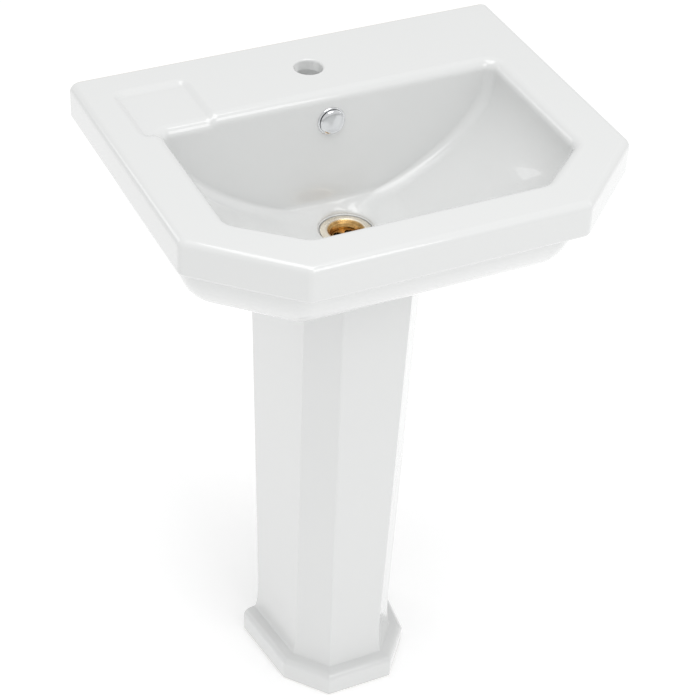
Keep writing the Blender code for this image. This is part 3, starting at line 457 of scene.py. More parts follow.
def makeFinish(name, spec):
    made = bpy.data.materials.new(name)
    made.use_nodes = True
    tree = made.node_tree
    link = tree.links.new
    shader = tree.nodes["Principled BSDF"]
    shader.inputs["Metallic"].default_value = spec["metallic"]
    if "ior" in spec:
        shader.inputs["IOR"].default_value = spec["ior"]
    if "coat" in spec:
        shader.inputs["Coat Weight"].default_value = spec["coat"]
        shader.inputs["Coat Roughness"].default_value = spec["coatRough"]
    place = addNode(tree, "ShaderNodeTexCoord")
    tones = addNode(tree, "ShaderNodeGroup", node_tree=mottle)
    tones.inputs["Scale"].default_value = spec["scale"]
    tones.inputs["Tone A"].default_value = (*spec["toneA"], 1)
    tones.inputs["Tone B"].default_value = (*spec["toneB"], 1)
    tones.inputs["Low"].default_value = spec["rough"][0]
    tones.inputs["High"].default_value = spec["rough"][1]
    link(place.outputs["Object"], tones.inputs["Vector"])
    ripple = addNode(tree, "ShaderNodeGroup", node_tree=mottle)
    ripple.inputs["Scale"].default_value = spec["rippleScale"]
    link(place.outputs["Object"], ripple.inputs["Vector"])
    normal = addNode(tree, "ShaderNodeBump", Strength=spec["ripple"], Distance=rippleHeight)
    link(ripple.outputs["Mask"], normal.inputs["Height"])
    colour = tones.outputs["Color"]
    if "rings" in spec:
        centre, normal = addLathe(tree, place, normal, spec)
    if "paintedReflection" in spec:
        colour = addPaintedReflection(tree, centre, colour, spec)
    if "clay" in spec:
        colour = addBareClay(tree, place, colour, shader, spec)
    link(normal.outputs["Normal"], shader.inputs["Normal"])
    link(tones.outputs["Value"], shader.inputs["Roughness"])
    link(colour, shader.inputs["Base Color"])
    return made


materials = {name: makeFinish(name, spec) for name, spec in finishes.items()}


def dress(obj, slot, body, *nodes):
    obj.data.materials.clear()
    obj.data.materials.append(materials[slot])
    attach(obj, body)
    if nodes:
        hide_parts(*nodes)
    print(obj.name, len(obj.data.polygons), "faces")
    return obj


basinSizes = dict(
    chamferSide=0.100, chamferFront=0.110, cornerEase=0.012, backCornerEase=0.003, rimEase=0.010, fascia=0.046,
    fasciaEase=0.005, deck=0.014, skin=0.012, tierBack=0.085, tierHeight=0.075, tierSweep=0.054, tierSide=0.011,
    tierFront=0.026, tierChamfer=0.023, tierEase=0.030, creaseEase=0.003, hollowEase=0.006, plateWidth=0.400,
    plateHeight=0.115, plateEase=0.004, landMargin=0.007, landHeight=0.024,
)
bowlSizes = dict(
    rimSide=0.064, back=0.132, rimFront=0.059, chamferSide=0.060, chamferFront=0.072, ease=0.014, depth=0.160,
    endShare=0.15, fullness=0.85, frontCorner=0.022, frontGain=0.10, backCorner=0.012, backGain=0.010,
    lean=0.011, heel=0.022, turnFrom=0.90, turnRun=0.10, fade=0.30,
)
dishSizes = dict(side=0.037, width=0.097, back=0.036, front=0.144, depth=0.0045, slope=0.009, corner=0.014,
                 topEase=0.010, footEase=0.008, exitRun=0.004, exitRise=0.006, tightest=0.0008)
dishExit = math.radians(4)
seatSizes = dict(bore=0.045, seat=0.067, seatDepth=0.0045, seatEase=0.0012, margin=0.001, bossHeight=0.042,
                 bossRadius=0.038, bossEase=0.003)
tapHole = dict(bore=0.035, fromWall=0.065, ease=0.0030)
overflowSizes = dict(hole=0.026, holeEase=0.0015, drop=0.037, cover=0.035, ductWidth=0.034, ductDepth=0.011,
                     ductMouth=0.013, casingEase=0.005)
fixingSizes = dict(
    spread=0.280, drop=0.072, sleeve=0.016, sleeveFlange=0.003, boreDepth=0.032, bolt=0.010, boltEase=0.001,
    threadStart=0.004, threadSpare=0.006, pitch=0.0015, threadDepth=0.0006,
)

bowlFloor = rimZ - bowlSizes["depth"]
wallTop = rimZ - bowlSizes["ease"]
bossBase = bowlFloor - seatSizes["bossHeight"]
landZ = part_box("bedding_strip")[1].z + tiny
deckMiddle = rimZ - basinSizes["deck"] / 2
ductWide = overflowSizes["ductWidth"] / 2
ductFront = wallY - bowlSizes["back"] + basinSizes["skin"]
ductFloor = bossBase + basinSizes["skin"] / 2


def basinCorners():
    sideY = frontY + basinSizes["chamferSide"]
    half = halfWidth - basinSizes["chamferFront"]
    return [(-halfWidth, wallY), (-halfWidth, sideY), (-half, frontY), (half, frontY), (halfWidth, sideY),
            (halfWidth, wallY)]


def bowlCorners():
    half = halfWidth - bowlSizes["rimSide"]
    backY = wallY - bowlSizes["back"]
    front = frontY + bowlSizes["rimFront"]
    sideY = front + bowlSizes["chamferSide"]
    halfFront = half - bowlSizes["chamferFront"]
    return [(-half, backY), (-half, sideY), (-halfFront, front), (halfFront, front), (half, sideY),
            (half, backY)]


# points round each corner, and along the left, its chamfer, the front, its chamfer, the right and the back
outerArc, bowlArc, landArc = 8, 10, 6
outerSteps = (10, 8, 12, 8, 10, 24)
bowlSteps = (64, 30, 56, 30, 64, 150)
dishSteps = (30, 24, 30, 24)
tierRings, hollowRings, dishRings = 16, 12, 22


def basinRing(insets, ease, depth):
    outline = shrunk(basinCorners(), insets)
    return atHeight(softOutline(outline, ease, outerArc, outerSteps), rimZ - depth)


def tierInsets(share, wall, back):
    sweep = basinSizes["tierSweep"] * (1 - math.cos(share * math.pi / 2)) + wall
    side, chamfer, front = (basinSizes[key] + sweep for key in ("tierSide", "tierChamfer", "tierFront"))
    return [side, chamfer, front, chamfer, side, back]


def tierDepth(share):
    overlap = basinSizes["skin"] / 2
    height = basinSizes["tierHeight"] + overlap
    return basinSizes["fascia"] - overlap + height * math.sin(share * math.pi / 2)


def makeOuter():
    rim, foot = basinSizes["rimEase"], basinSizes["fasciaEase"]
    sharp = [basinSizes["backCornerEase"]] + [basinSizes["cornerEase"]] * 4 + [basinSizes["backCornerEase"]]
    rings = []
    for angle in quarter(steps=10):
        inset, depth = rim * (1 - math.sin(angle)), rim * (1 - math.cos(angle))
        rings.append(basinRing([inset] * 5 + [0], sharp, depth))
    for angle in quarter(steps=6):
        inset = foot * (1 - math.cos(angle))
        depth = basinSizes["fascia"] - foot * (1 - math.sin(angle))
        rings.append(basinRing([inset] * 5 + [0], sharp, depth))
    soft = [basinSizes["tierEase"]] * 6
    crease = basinSizes["creaseEase"]
    start = tierInsets(0, 0, basinSizes["tierBack"])
    for angle in quarter(steps=5):
        inset = [value - crease * (1 - math.sin(angle)) for value in start]
        rings.append(basinRing(inset, soft, basinSizes["fascia"] + crease * (1 - math.cos(angle))))
    overlap = basinSizes["skin"] / 2
    first = math.asin((crease + overlap) / (basinSizes["tierHeight"] + overlap)) / (math.pi / 2)
    for step in range(1, tierRings + 1):
        share = first + (1 - first) * step / tierRings
        rings.append(basinRing(tierInsets(share, 0, basinSizes["tierBack"]), soft, tierDepth(share)))
    return drawThrough("basin_shell", rings)


def makeHollow():
    skin = basinSizes["skin"]
    corner = [basinSizes["cornerEase"]] * 6
    rings = [basinRing(tierInsets(1, skin, skin), corner, 2 * bowlSizes["depth"])]
    for step in range(hollowRings, -1, -1):
        share = step / hollowRings
        rings.append(basinRing(tierInsets(share, skin, skin), corner, tierDepth(share)))
    tight = skin + basinSizes["tierChamfer"] - basinSizes["tierSide"]
    top, ease = basinSizes["deck"], basinSizes["hollowEase"]
    for angle in quarter(steps=4):
        inset = tight + ease * (1 - math.cos(angle))
        rings.append(basinRing([inset] * 5 + [skin], corner, top + ease * (1 - math.sin(angle))))
    return drawThrough("hollow", rings)


def bowlScale(share):
    end = bowlSizes["endShare"]
    return end + (1 - end) * max(0.0, 1 - share**2) ** bowlSizes["fullness"]


def bowlBack(share):
    # the back wall leans forwards a little on its way down and turns into the floor at its heel
    stand = (wallY - drainY) - bowlSizes["back"] - bowlSizes["lean"] * share
    heel, height = bowlSizes["heel"], bowlHeight(share) - bowlFloor
    if height >= heel:
        return stand
    return stand - heel + math.sqrt(max(0.0, heel**2 - (heel - height) ** 2))


def bowlRing(share, growth):
    scale = bowlScale(share)
    corners = [(x * scale, drainY + (y - drainY) * scale) for x, y in bowlCorners()]
    for end in (0, -1):
        corners[end] = (corners[end][0], drainY + bowlBack(share))
    front = bowlSizes["frontCorner"] + bowlSizes["frontGain"] * share + growth
    back = bowlSizes["backCorner"] + bowlSizes["backGain"] * share + growth
    radii = [back] + [front] * 4 + [back]
    points = softOutline(shrunk(corners, [-growth] * 6), radii, bowlArc, bowlSteps)
    # the lowest part of the bowl turns from the six sided outline into the round seat
    turn = easedStep(max(0.0, (share - bowlSizes["turnFrom"]) / bowlSizes["turnRun"]))
    if turn == 0:
        return points
    radius = seatSizes["seat"] / 2 + growth + seatSizes["margin"]
    blended = []
    for x, y in points:
        length = math.hypot(x, y - drainY)
        reach = length + (radius / length - 1) * length * turn
        blended.append((x * reach / length, drainY + (y - drainY) * reach / length))
    return blended


def bowlHeight(share):
    return wallTop - (wallTop - bowlFloor) * share


def dishProfile(inset):
    # depth of the dish at a distance inside its outline
    slope, depth = dishSizes["slope"], dishSizes["depth"]
    tilt = math.atan2(depth, slope)
    top, foot = dishSizes["topEase"], dishSizes["footEase"]
    topRun, footRun = top * math.tan(tilt / 2), foot * math.tan(tilt / 2)
    if inset <= -topRun:
        return 0.0
    if inset < -topRun + top * math.sin(tilt):
        return top - math.sqrt(top**2 - (inset + topRun) ** 2)
    flat = slope + footRun
    if inset >= flat:
        return depth
    if inset > flat - foot * math.sin(tilt):
        return depth - (foot - math.sqrt(foot**2 - (flat - inset) ** 2))
    return inset * depth / slope


def dishPlace():
    left = dishSizes["side"] - halfWidth
    return left, left + dishSizes["width"], wallY - dishSizes["back"], wallY - dishSizes["front"]


def dishDrop(x, y):
    left, right, back, front = dishPlace()
    corner = dishSizes["corner"]
    halfX, halfY = (right - left) / 2, (back - front) / 2
    dx = abs(x - (left + right) / 2) - halfX + corner
    dy = abs(y - (back + front) / 2) - halfY + corner
    outside = math.hypot(max(dx, 0), max(dy, 0)) + min(max(dx, dy), 0) - corner
    return dishProfile(-outside)


def makeDishSpace():
    left, right, back, front = dishPlace()
    tilt = math.atan2(dishSizes["depth"], dishSizes["slope"])
    topRun = dishSizes["topEase"] * math.tan(tilt / 2)
    flat = dishSizes["slope"] + dishSizes["footEase"] * math.tan(tilt / 2)
    start = -topRun + dishSizes["topEase"] * math.sin(dishExit)
    insets = [start + (flat - start) * k / dishRings for k in range(dishRings + 1)]
    run = dishSizes["exitRun"]
    leave = run * math.tan(dishExit) - dishProfile(start)
    levels = [(start - run, dishSizes["exitRise"]), (start - run, leave)]
    levels += [(inset, -dishProfile(inset)) for inset in insets]
    rings = []
    for inset, rise in reversed(levels):
        corners = [(left + inset, back - inset), (left + inset, front + inset), (right - inset, front + inset),
                   (right - inset, back - inset)]
        ease = max(dishSizes["corner"] - inset, dishSizes["tightest"])
        rings.append(atHeight(softOutline(corners, [ease] * 4, bowlArc, dishSteps), rimZ + rise))
    return drawThrough("dish_space", rings)


def makeBowlSpace():
    topRing = bowlRing(0, bowlSizes["ease"])
    drops = [dishDrop(x, y) for x, y in topRing]
    rings = []
    for angle in quarter(steps=30, start=90, end=0):
        share = math.sin(angle)
        fade = easedStep(max(0.0, 1 - share / bowlSizes["fade"]))
        ring = bowlRing(share, 0)
        rings.append([(x, y, bowlHeight(share) - drop * fade) for (x, y), drop in zip(ring, drops)])
    for angle in quarter(steps=8, start=80, end=0):
        growth = bowlSizes["ease"] * (1 - math.sin(angle))
        z = rimZ - bowlSizes["ease"] * (1 - math.cos(angle))
        rings.append([(x, y, z - drop) for (x, y), drop in zip(bowlRing(0, growth), drops)])
    rings.append(atHeight(topRing, rimZ + overrun))
    return drawThrough("bowl_space", rings)


def makeBelly():
    skin = basinSizes["skin"]
    rings = []
    for angle in quarter(steps=16, start=90, end=0):
        share = math.sin(angle)
        rings.append(atHeight(bowlRing(share, skin), bowlHeight(share) - skin * share**2))
    rings.append(atHeight(bowlRing(0, skin), deckMiddle))
    return drawThrough("belly", rings)


def overflowPlace():
    hole = rimZ - overflowSizes["drop"]

    def backY(z):
        return drainY + bowlBack((wallTop - z) / (wallTop - bowlFloor))

    reach = overflowSizes["cover"] / 2
    high, low = backY(hole + reach), backY(hole - reach)
    tilt = math.atan2(high - low, 2 * reach)
    return (0, (high + low) / 2, hole), (math.pi / 2 - tilt, 0, 0)


pedestalSizes = dict(
    footHalf=0.068, topHalf=0.079, footFront=0.272, topFront=0.282, footBack=0.130, topBack=0.110,
    chamferX=0.033, chamferY=0.040, splay=0.12, arris=0.003, skin=0.011, plinth=0.034, growth=0.023,
    plinthEase=0.010, fall=0.001, flare=0.007, flareHeight=0.052, lip=0.018, edge=0.0012, insideEase=0.006,
)
pedestalSteps = (4, 4, 6, 4, 4, 6)
shaftRings = 12


def pedestalCorners(share, growth, backGrowth=0.0):
    sizes = pedestalSizes
    half = sizes["footHalf"] + (sizes["topHalf"] - sizes["footHalf"]) * share
    front = sizes["footFront"] + (sizes["topFront"] - sizes["footFront"]) * share
    back = sizes["footBack"] + (sizes["topBack"] - sizes["footBack"]) * share
    side = front - sizes["chamferY"]
    splay = sizes["splay"] * (side - back)
    inner = half - sizes["chamferX"]
    corners = [(-half - splay, wallY - back), (-half, wallY - side), (-inner, wallY - front),
               (inner, wallY - front), (half, wallY - side), (half + splay, wallY - back)]
    return shrunk(corners, [-growth] * 5 + [-backGrowth])


def markHollow(obj, spare):
    # faces that came from the inner cutters carry the spare material, which becomes a mark on their corners for
    # bare clay and painted shade
    marked = {i for i, slot in enumerate(obj.data.materials) if slot == spare}
    mark = obj.data.attributes.new("hollow", "FLOAT", "CORNER")
    for face in obj.data.polygons:
        value = 1.0 if face.material_index in marked else 0.0
        for corner in face.loop_indices:
            mark.data[corner].value = value
        face.material_index = 0


def boreLip(radius, top, ease, steps, start):
    # the rounded mouth of a round hole
    return [(radius + ease * (1 - math.sin(a)), top - ease * (1 - math.cos(a)))
            for a in quarter(steps, start, 90)]


def makeBackPlate():
    plate = basinSizes["plateWidth"] / 2
    low = (-plate, wallY - basinSizes["skin"], rimZ - basinSizes["plateHeight"])
    made = block("back_plate", low, (plate, wallY, deckMiddle))
    useModifier(made, "BEVEL", width=basinSizes["plateEase"], segments=3, limit_method="ANGLE")
    return made


def makeLand():
    margin = basinSizes["landMargin"]
    corners = pedestalCorners(1, margin, margin)
    land = softOutline(corners, [basinSizes["cornerEase"]] * 6, landArc, (4,) * 6)
    return drawThrough("land", [atHeight(land, landZ), atHeight(land, landZ + basinSizes["landHeight"])])


def makeBoss():
    radius = seatSizes["bossRadius"]
    return turned("boss", eased([
        (0, bossBase, 0), (radius, bossBase, seatSizes["bossEase"]), (radius, bowlFloor, 0), (0, bowlFloor, 0),
    ]), (0, drainY, 0))


def makeDuctCasing():
    skin = basinSizes["skin"]
    wide, back = ductWide + skin, ductFront + overflowSizes["ductDepth"] + skin / 2
    made = block("duct_casing", (-wide, drainY, bossBase), (wide, back, deckMiddle))
    useModifier(made, "BEVEL", width=overflowSizes["casingEase"], segments=4, limit_method="ANGLE")
    return made


def makeDuct():
    half = overflowSizes["ductDepth"] / 2
    top = rimZ - overflowSizes["drop"] + overflowSizes["hole"] / 2
    return block("duct", (-ductWide, ductFront - half, ductFloor), (ductWide, ductFront + half, top))


def makeDuctMouth():
    wide, top = ductWide * 2 / 3, ductFloor + overflowSizes["ductMouth"]
    return block("duct_mouth", (-wide, drainY, ductFloor), (wide, ductFront, top))


def makeOverflowBore():
    place, turn = overflowPlace()
    hole, ease, skin = overflowSizes["hole"] / 2, overflowSizes["holeEase"], basinSizes["skin"]
    inner = -skin - overflowSizes["ductDepth"] / 2
    bore = [(0, skin), (hole + ease, skin)] + boreLip(hole, 0, ease, steps=5, start=12)
    return turned("overflow_bore", bore + [(hole, inner), (0, inner)], place, turn, steps=64)


def makeWasteBore():
    seat, seatZ, ease = seatSizes["seat"] / 2, bowlFloor - seatSizes["seatDepth"], seatSizes["seatEase"]
    hole, above, below = seatSizes["bore"] / 2, bowlFloor + overrun, bossBase - overrun
    bore = [(0, above), (seat + ease, above)] + boreLip(seat, bowlFloor, ease, steps=4, start=15)
    bore += [(seat, seatZ), (hole, seatZ), (hole, below), (0, below)]
    return turned("waste_bore", bore, (0, drainY, 0))


def makeTapBore():
    radius, ease, below = tapHole["bore"] / 2, tapHole["ease"], -2 * basinSizes["deck"]
    bore = [(0, overrun), (radius + ease, overrun)] + boreLip(radius, 0, ease, steps=8, start=8)
    place = (0, wallY - tapHole["fromWall"], rimZ)
    return turned("tap_bore", bore + [(radius, below), (0, below)], place)


def fixingPlace(side):
    return side * fixingSizes["spread"] / 2, wallY, rimZ - fixingSizes["drop"]


def makeBoltBore(side):
    radius, deep = fixingSizes["sleeve"] / 2 + fit, fixingSizes["boreDepth"]
    bore = [(0, -overrun), (radius, -overrun), (radius, deep), (0, deep)]
    return turned("bolt_bore", bore, fixingPlace(side), fixing, steps=48)


def makeBasin():
    glazed, spare = materials["glaze"], bpy.data.materials.new("inside_clay_and_painted_shade")

    def lined(cutter, lining=spare):
        cutter.data.materials.append(lining)
        return cutter

    outer = makeOuter()
    outer.data.materials.append(glazed)
    made = carve(outer, lined(makeHollow()))
    made = weld(made, lined(makeBackPlate()))
    shell = weld(makeBelly(), makeLand())
    shell.data.materials.append(spare)
    shell = weld(shell, makeBoss())
    made = weld(made, weld(shell, makeDuctCasing()))
    made = carve(made, lined(makeDishSpace(), glazed))
    made = carve(made, lined(makeBowlSpace(), glazed))
    print("basin body", len(made.data.polygons))
    made = carve(made, lined(makeDuct()))
    made = carve(made, lined(makeDuctMouth()))
    for makeBore in (makeOverflowBore, makeWasteBore, makeTapBore):
        made = carve(made, lined(makeBore(), glazed))
    for side in (-1, 1):
        made = carve(made, lined(makeBoltBore(side)))
    made.name = made.data.name = "basin_glazed"
    markHollow(made, spare)
    smooth(made, degrees=34)
    return dress(made, "glaze", "sink", "basin")


makeBasin()
print("basin made")


def makePedestal():
    sizes = pedestalSizes
    top, skin, edge = pedestalHigh.z, sizes["skin"], sizes["edge"]
    plinth, ease, flare = sizes["plinth"], sizes["plinthEase"], sizes["flareHeight"]
    levels = [(sizes["growth"] - edge, 0), (sizes["growth"], edge)]
    levels += [(sizes["growth"] - ease * (1 - math.cos(a)), plinth - ease * (1 - math.sin(a)))
               for a in quarter(steps=8)]
    levels += [(sizes["flare"] * (1 - math.sin(a)), plinth + sizes["fall"] + flare * (1 - math.cos(a)))
               for a in quarter(steps=10)]
    levels += [(0, plinth + flare + (top - plinth - flare) * k / shaftRings) for k in range(1, shaftRings)]
    levels += [(-edge * (1 - math.cos(a)), top - edge * (1 - math.sin(a))) for a in quarter(steps=3)]
    rings = []
    for growth, z in levels:
        corners = pedestalCorners(z / top, growth)
        rings.append(atHeight(softOutline(corners, [sizes["arris"]] * 6, 6, pedestalSteps), z))
    made = drawThrough("pedestal_glazed", rings)
    inside = []
    for z in (-overrun, top + overrun):
        corners = pedestalCorners(z / top, -skin, -skin)
        inside.append(atHeight(softOutline(corners, [sizes["insideEase"]] * 6, 5, (2,) * 6), z))
    made = carve(made, drawThrough("shaft_space", inside))
    slot = sizes["footHalf"] - sizes["lip"]
    low = (-slot, wallY - sizes["footBack"] - 2 * skin, -overrun)
    made = carve(made, block("back_slot", low, (slot, wallY - sizes["topBack"] + overrun, top + overrun)))
    smooth(made, degrees=30)
    return dress(made, "glaze", "sink", "pedestal")


makePedestal()
print("pedestal made")


wasteSizes = dict(
    tail=0.02075, bore=0.0175, dish=0.023, flangeEdge=0.0012, ledgeWidth=0.0015, ledgeRise=0.005,
    dishRun=0.0035, dishFall=0.0042, lipFall=0.0006, lipRun=0.0022, slotHalf=0.009, slotReach=0.0415,
    slotHeight=0.016,
)
strainerSizes = dict(hub=0.0035, holes=4, mouth=0.0056, hole=0.0052, mouthFrom=0.0026, mouthTo=0.0018,
                     biteAbove=0.006, biteBelow=-0.004)


def makeWasteBody():
    low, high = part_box("waste_body")
    flange, top, end = high.x, high.z, low.z
    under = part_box("waste_top_gasket")[1].z + tiny
    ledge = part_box("waste_strainer")[0].z - tiny
    sizes = wasteSizes
    tail, bore, dish = sizes["tail"], sizes["bore"], sizes["dish"]
    mouth = bore - sizes["ledgeWidth"]
    made = turned("waste_brass", eased([
        (flange, under + sizes["flangeEdge"], 0.0004), (flange, under, 0.0002), (tail, under, 0),
        (tail, end, 0.0006), (mouth, end, 0.0005), (mouth, ledge, 0.0003), (bore, ledge, 0),
        (bore, ledge + sizes["ledgeRise"], 0.002), (dish - sizes["dishRun"], top - sizes["dishFall"], 0.003),
        (dish, top - sizes["lipFall"], 0.0012), (dish + sizes["lipRun"], top, 0.0016),
    ]), (0, drainY, 0), steps=112)
    half = sizes["slotHalf"]
    for side in (-1, 1):
        ends = sorted((drainY, drainY + side * sizes["slotReach"]))
        slot = block("slot", (-half, ends[0], ductFloor), (half, ends[1], ductFloor + sizes["slotHeight"]))
        made = carve(made, slot)
    smooth(made)
    dress(made, "brass", "sink", "waste_body")


def makeStrainer():
    low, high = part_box("waste_strainer")
    sizes = strainerSizes
    hub, hole, mouth = sizes["hub"], sizes["hole"], sizes["mouth"]
    cross = turned("waste_cross", eased([
        (high.x, high.z, 0.0003), (high.x, low.z, 0.0003), (hub, low.z, 0.0003), (hub, high.z, 0.0006),
    ]), (0, drainY, 0))
    reach = (wasteSizes["bore"] + hub) / 2
    outline = [(0, sizes["biteAbove"]), (mouth, sizes["biteAbove"]), (mouth, sizes["mouthFrom"]),
               (hole, sizes["mouthTo"]), (hole, sizes["biteBelow"]), (0, sizes["biteBelow"])]
    for count in range(sizes["holes"]):
        angle = math.tau * (count + 0.5) / sizes["holes"]
        spot = (reach * math.cos(angle), drainY + reach * math.sin(angle), low.z)
        cross = carve(cross, turned("bite", outline, spot, steps=40))
    smooth(cross)
    dress(cross, "brass", "sink", "waste_strainer")


# outlines about the overflow hole's own axis
ringOutline = [
    (0.0180, 0.0004, 0.0002), (0.0172, 0.0016, 0.0008), (0.0160, 0.0018, 0.0006), (0.0126, 0.0010, 0.0005),
    (0.0126, -0.008, 0.0003), (0.0114, -0.008, 0.0003), (0.0114, 0.0003, 0.0003),
]
domeOutline = [
    (0, 0.0068), (0.0050, 0.0067), (0.0095, 0.0063), (0.0130, 0.0055), (0.0148, 0.0047), (0.0157, 0.0038),
    (0.0157, 0.0033), (0.0151, 0.0030), (0.0130, 0.0036), (0.0040, 0.0042), (0.0036, 0.0040),
    (0.0036, -0.0060), (0.0030, -0.0066), (0, -0.0066),
]


def makeOverflow():
    place, turn = overflowPlace()
    ring = turned("overflow_ring", eased(ringOutline), place, turn)
    smooth(ring)
    dress(ring, "chrome", "sink", "overflow_clip")
    cap = turned("overflow_cap", domeOutline, place, turn)
    smooth(cap, degrees=40)
    dress(cap, "chrome", "sink", "overflow_cover")


makeWasteBody()
makeStrainer()
makeOverflow()
print("waste and overflow made")

trapSizes = dict(pipe=0.016, wall=0.0016, neck=0.0215, lip=0.003, lipEase=0.0006, sealInset=0.001,
                 washerEase=0.0005)
gripSizes = dict(ribs=12, depth=0.0008, reach=0.0016, sharpness=0.5)
edgeEase, boreEase, nutEase, nutSteps = 0.0004, 0.0003, 0.0018, 144
flangeSizes = dict(collar=0.003, shoulder=0.006, shoulderFall=0.003, slopeIn=0.008, slopeHeight=0.005,
                   edgeIn=0.002, edgeHeight=0.0025)


def grip(obj, radius):
    # finger ribs pressed into the outside of a hand nut, before it is placed
    for vert in obj.data.vertices:
        reach = math.hypot(vert.co.x, vert.co.y)
        if reach < radius - gripSizes["reach"]:
            continue
        angle = math.atan2(vert.co.y, vert.co.x)
        wave = abs(math.sin(gripSizes["ribs"] * angle)) ** gripSizes["sharpness"]
        pull = 1 - gripSizes["depth"] * (1 - wave) / reach
        vert.co.x *= pull
        vert.co.y *= pull


def makeTurned(name, node, slot, outline, place, turn, ribRadius=None, steps=96):
    made = turned(name, eased(outline, steps=4), steps=steps)
    if ribRadius:
        grip(made, ribRadius)
    placed(made, place, turn)
    smooth(made)
    return dress(made, slot, "sink", node)


def tubeOutline(outer, inner, low, high, ease=boreEase):
    return [(outer, high, ease), (outer, low, ease), (inner, low, ease), (inner, high, ease)]


def makeHandNut(name, node, ends, bores, step, place, turn):
    # a ribbed nut, with one bore below the step inside it and another above
    (low, high), (below, above), outer = ends, bores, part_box(node)[1].x
    makeTurned(name, node, "chrome", [
        (outer, high, nutEase), (outer, low, nutEase), (below, low, boreEase), (below, step, 0),
        (above, step, 0), (above, high, edgeEase),
    ], place, turn, ribRadius=outer, steps=nutSteps)


def makeTrap():
    axis, tail = (0, drainY, 0), wasteSizes["tail"]
    pipe, wall, lip, neck = (trapSizes[key] for key in ("pipe", "wall", "lip", "neck"))
    for name, node, slot in (("waste_top_seal", "waste_top_gasket", "rubber"),
                             ("waste_under_seal", "waste_under_gasket", "rubber"),
                             ("waste_slip_ring", "waste_slip_washer", "nylon")):
        low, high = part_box(node)
        outline = tubeOutline(high.x, tail + fit, low.z, high.z, trapSizes["washerEase"])
        makeTurned(name, node, slot, outline, axis, standing)
    low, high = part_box("trap_inlet_tube")
    makeTurned("inlet_tube", "trap_inlet_tube", "chrome", [
        (high.x, high.z, edgeEase), (high.x, high.z - lip, trapSizes["lipEase"]),
        (pipe, high.z - lip, edgeEase), (pipe, low.z, edgeEase),
        (pipe - wall, low.z, edgeEase), (pipe - wall, high.z, edgeEase),
    ], axis, standing)
    for name, node, inner in (("inlet_seal_ring", "trap_inlet_seal", pipe - trapSizes["sealInset"]),
                              ("neck_seal_ring", "trap_neck_seal", pipe + fit)):
        low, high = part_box(node)
        makeTurned(name, node, "rubber", tubeOutline(high.x, inner, low.z, high.z), axis, standing)
    low, high = (end.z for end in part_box("trap_inlet_nut"))
    makeHandNut("inlet_nut", "trap_inlet_nut", (low, high), (pipe + fit, tail + fit), low + lip, axis, standing)
    low, high = (end.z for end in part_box("trap_neck_nut"))
    makeHandNut("neck_nut", "trap_neck_nut", (low, high), (neck + fit, pipe + fit), high - lip, axis, standing)


def makeOutlet():
    pipe, wall, lip, neck = (trapSizes[key] for key in ("pipe", "wall", "lip", "neck"))
    low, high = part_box("waste_pipe")
    middle = (low.z + high.z) / 2
    outline = tubeOutline(pipe, pipe - wall, 0, high.y - low.y)
    makeTurned("wall_pipe", "waste_pipe", "chrome", outline, (0, low.y, middle), outlet)
    low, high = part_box("trap_outlet_seal")
    outline = tubeOutline(high.x, pipe + fit, 0, high.y - low.y)
    makeTurned("outlet_seal_ring", "trap_outlet_seal", "rubber", outline, (0, low.y, middle), outlet)
    low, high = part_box("trap_outlet_nut")
    long = high.y - low.y
    makeHandNut("outlet_nut", "trap_outlet_nut", (0, long), (neck + fit, pipe + fit), long - lip,
                (0, low.y, middle), outlet)
    low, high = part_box("wall_flange")
    edge, deep, sizes = high.x, high.y - low.y, flangeSizes
    makeTurned("wall_cover", "wall_flange", "chrome", [
        (pipe + fit, deep, edgeEase), (pipe + sizes["collar"], deep, 0.0012),
        (pipe + sizes["shoulder"], deep - sizes["shoulderFall"], 0.004),
        (edge - sizes["slopeIn"], sizes["slopeHeight"], 0.006),
        (edge - sizes["edgeIn"], sizes["edgeHeight"], 0.002), (edge, 0, 0), (pipe + fit, 0, 0),
    ], (0, high.y, middle), fixing)


def boltThread(bolt, long):
    # ring grooves from the wall outwards, each a crest and a root
    pitch, root = fixingSizes["pitch"], bolt - fixingSizes["threadDepth"]
    start = fixingSizes["threadStart"]
    points = []
    for k in range(int((long - fixingSizes["threadSpare"]) / pitch)):
        points += [(bolt, start + k * pitch, 0), (root, start + (k + 0.5) * pitch, 0)]
    return points


def makeFixings():
    bolt, ease = fixingSizes["bolt"] / 2, fixingSizes["boltEase"]
    for side, sign in (("left", -1), ("right", 1)):
        place = fixingPlace(sign)
        low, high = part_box(f"wall_bolt_{side}")
        long = high.y - low.y
        makeTurned(f"bolt_{side}", f"wall_bolt_{side}", "steel", [
            (0, long, 0), (bolt - ease, long, boreEase), (bolt, long - ease, 0),
            *reversed(boltThread(bolt, long)), (bolt, 0, 0), (0, 0, 0),
        ], place, fixing, steps=48)
        low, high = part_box(f"bolt_washer_{side}")
        outline = tubeOutline((high.x - low.x) / 2, bolt + fit, wallY - high.y, wallY - low.y)
        makeTurned(f"washer_{side}", f"bolt_washer_{side}", "steel", outline, place, fixing)
        low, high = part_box(f"bolt_sleeve_{side}")
        near, far, head = wallY - high.y, wallY - low.y, (high.x - low.x) / 2
        neck, under = fixingSizes["sleeve"] / 2, far - fixingSizes["sleeveFlange"]
        makeTurned(f"sleeve_{side}", f"bolt_sleeve_{side}", "nylon", [
            (head, far, 0.0008), (head, under, edgeEase), (neck, under, boreEase), (neck, near, edgeEase),
            (bolt + fit, near, boreEase), (bolt + fit, far, edgeEase),
        ], place, fixing)


makeTrap()
makeOutlet()
makeFixings()
print("trap, outlet and fixings made")

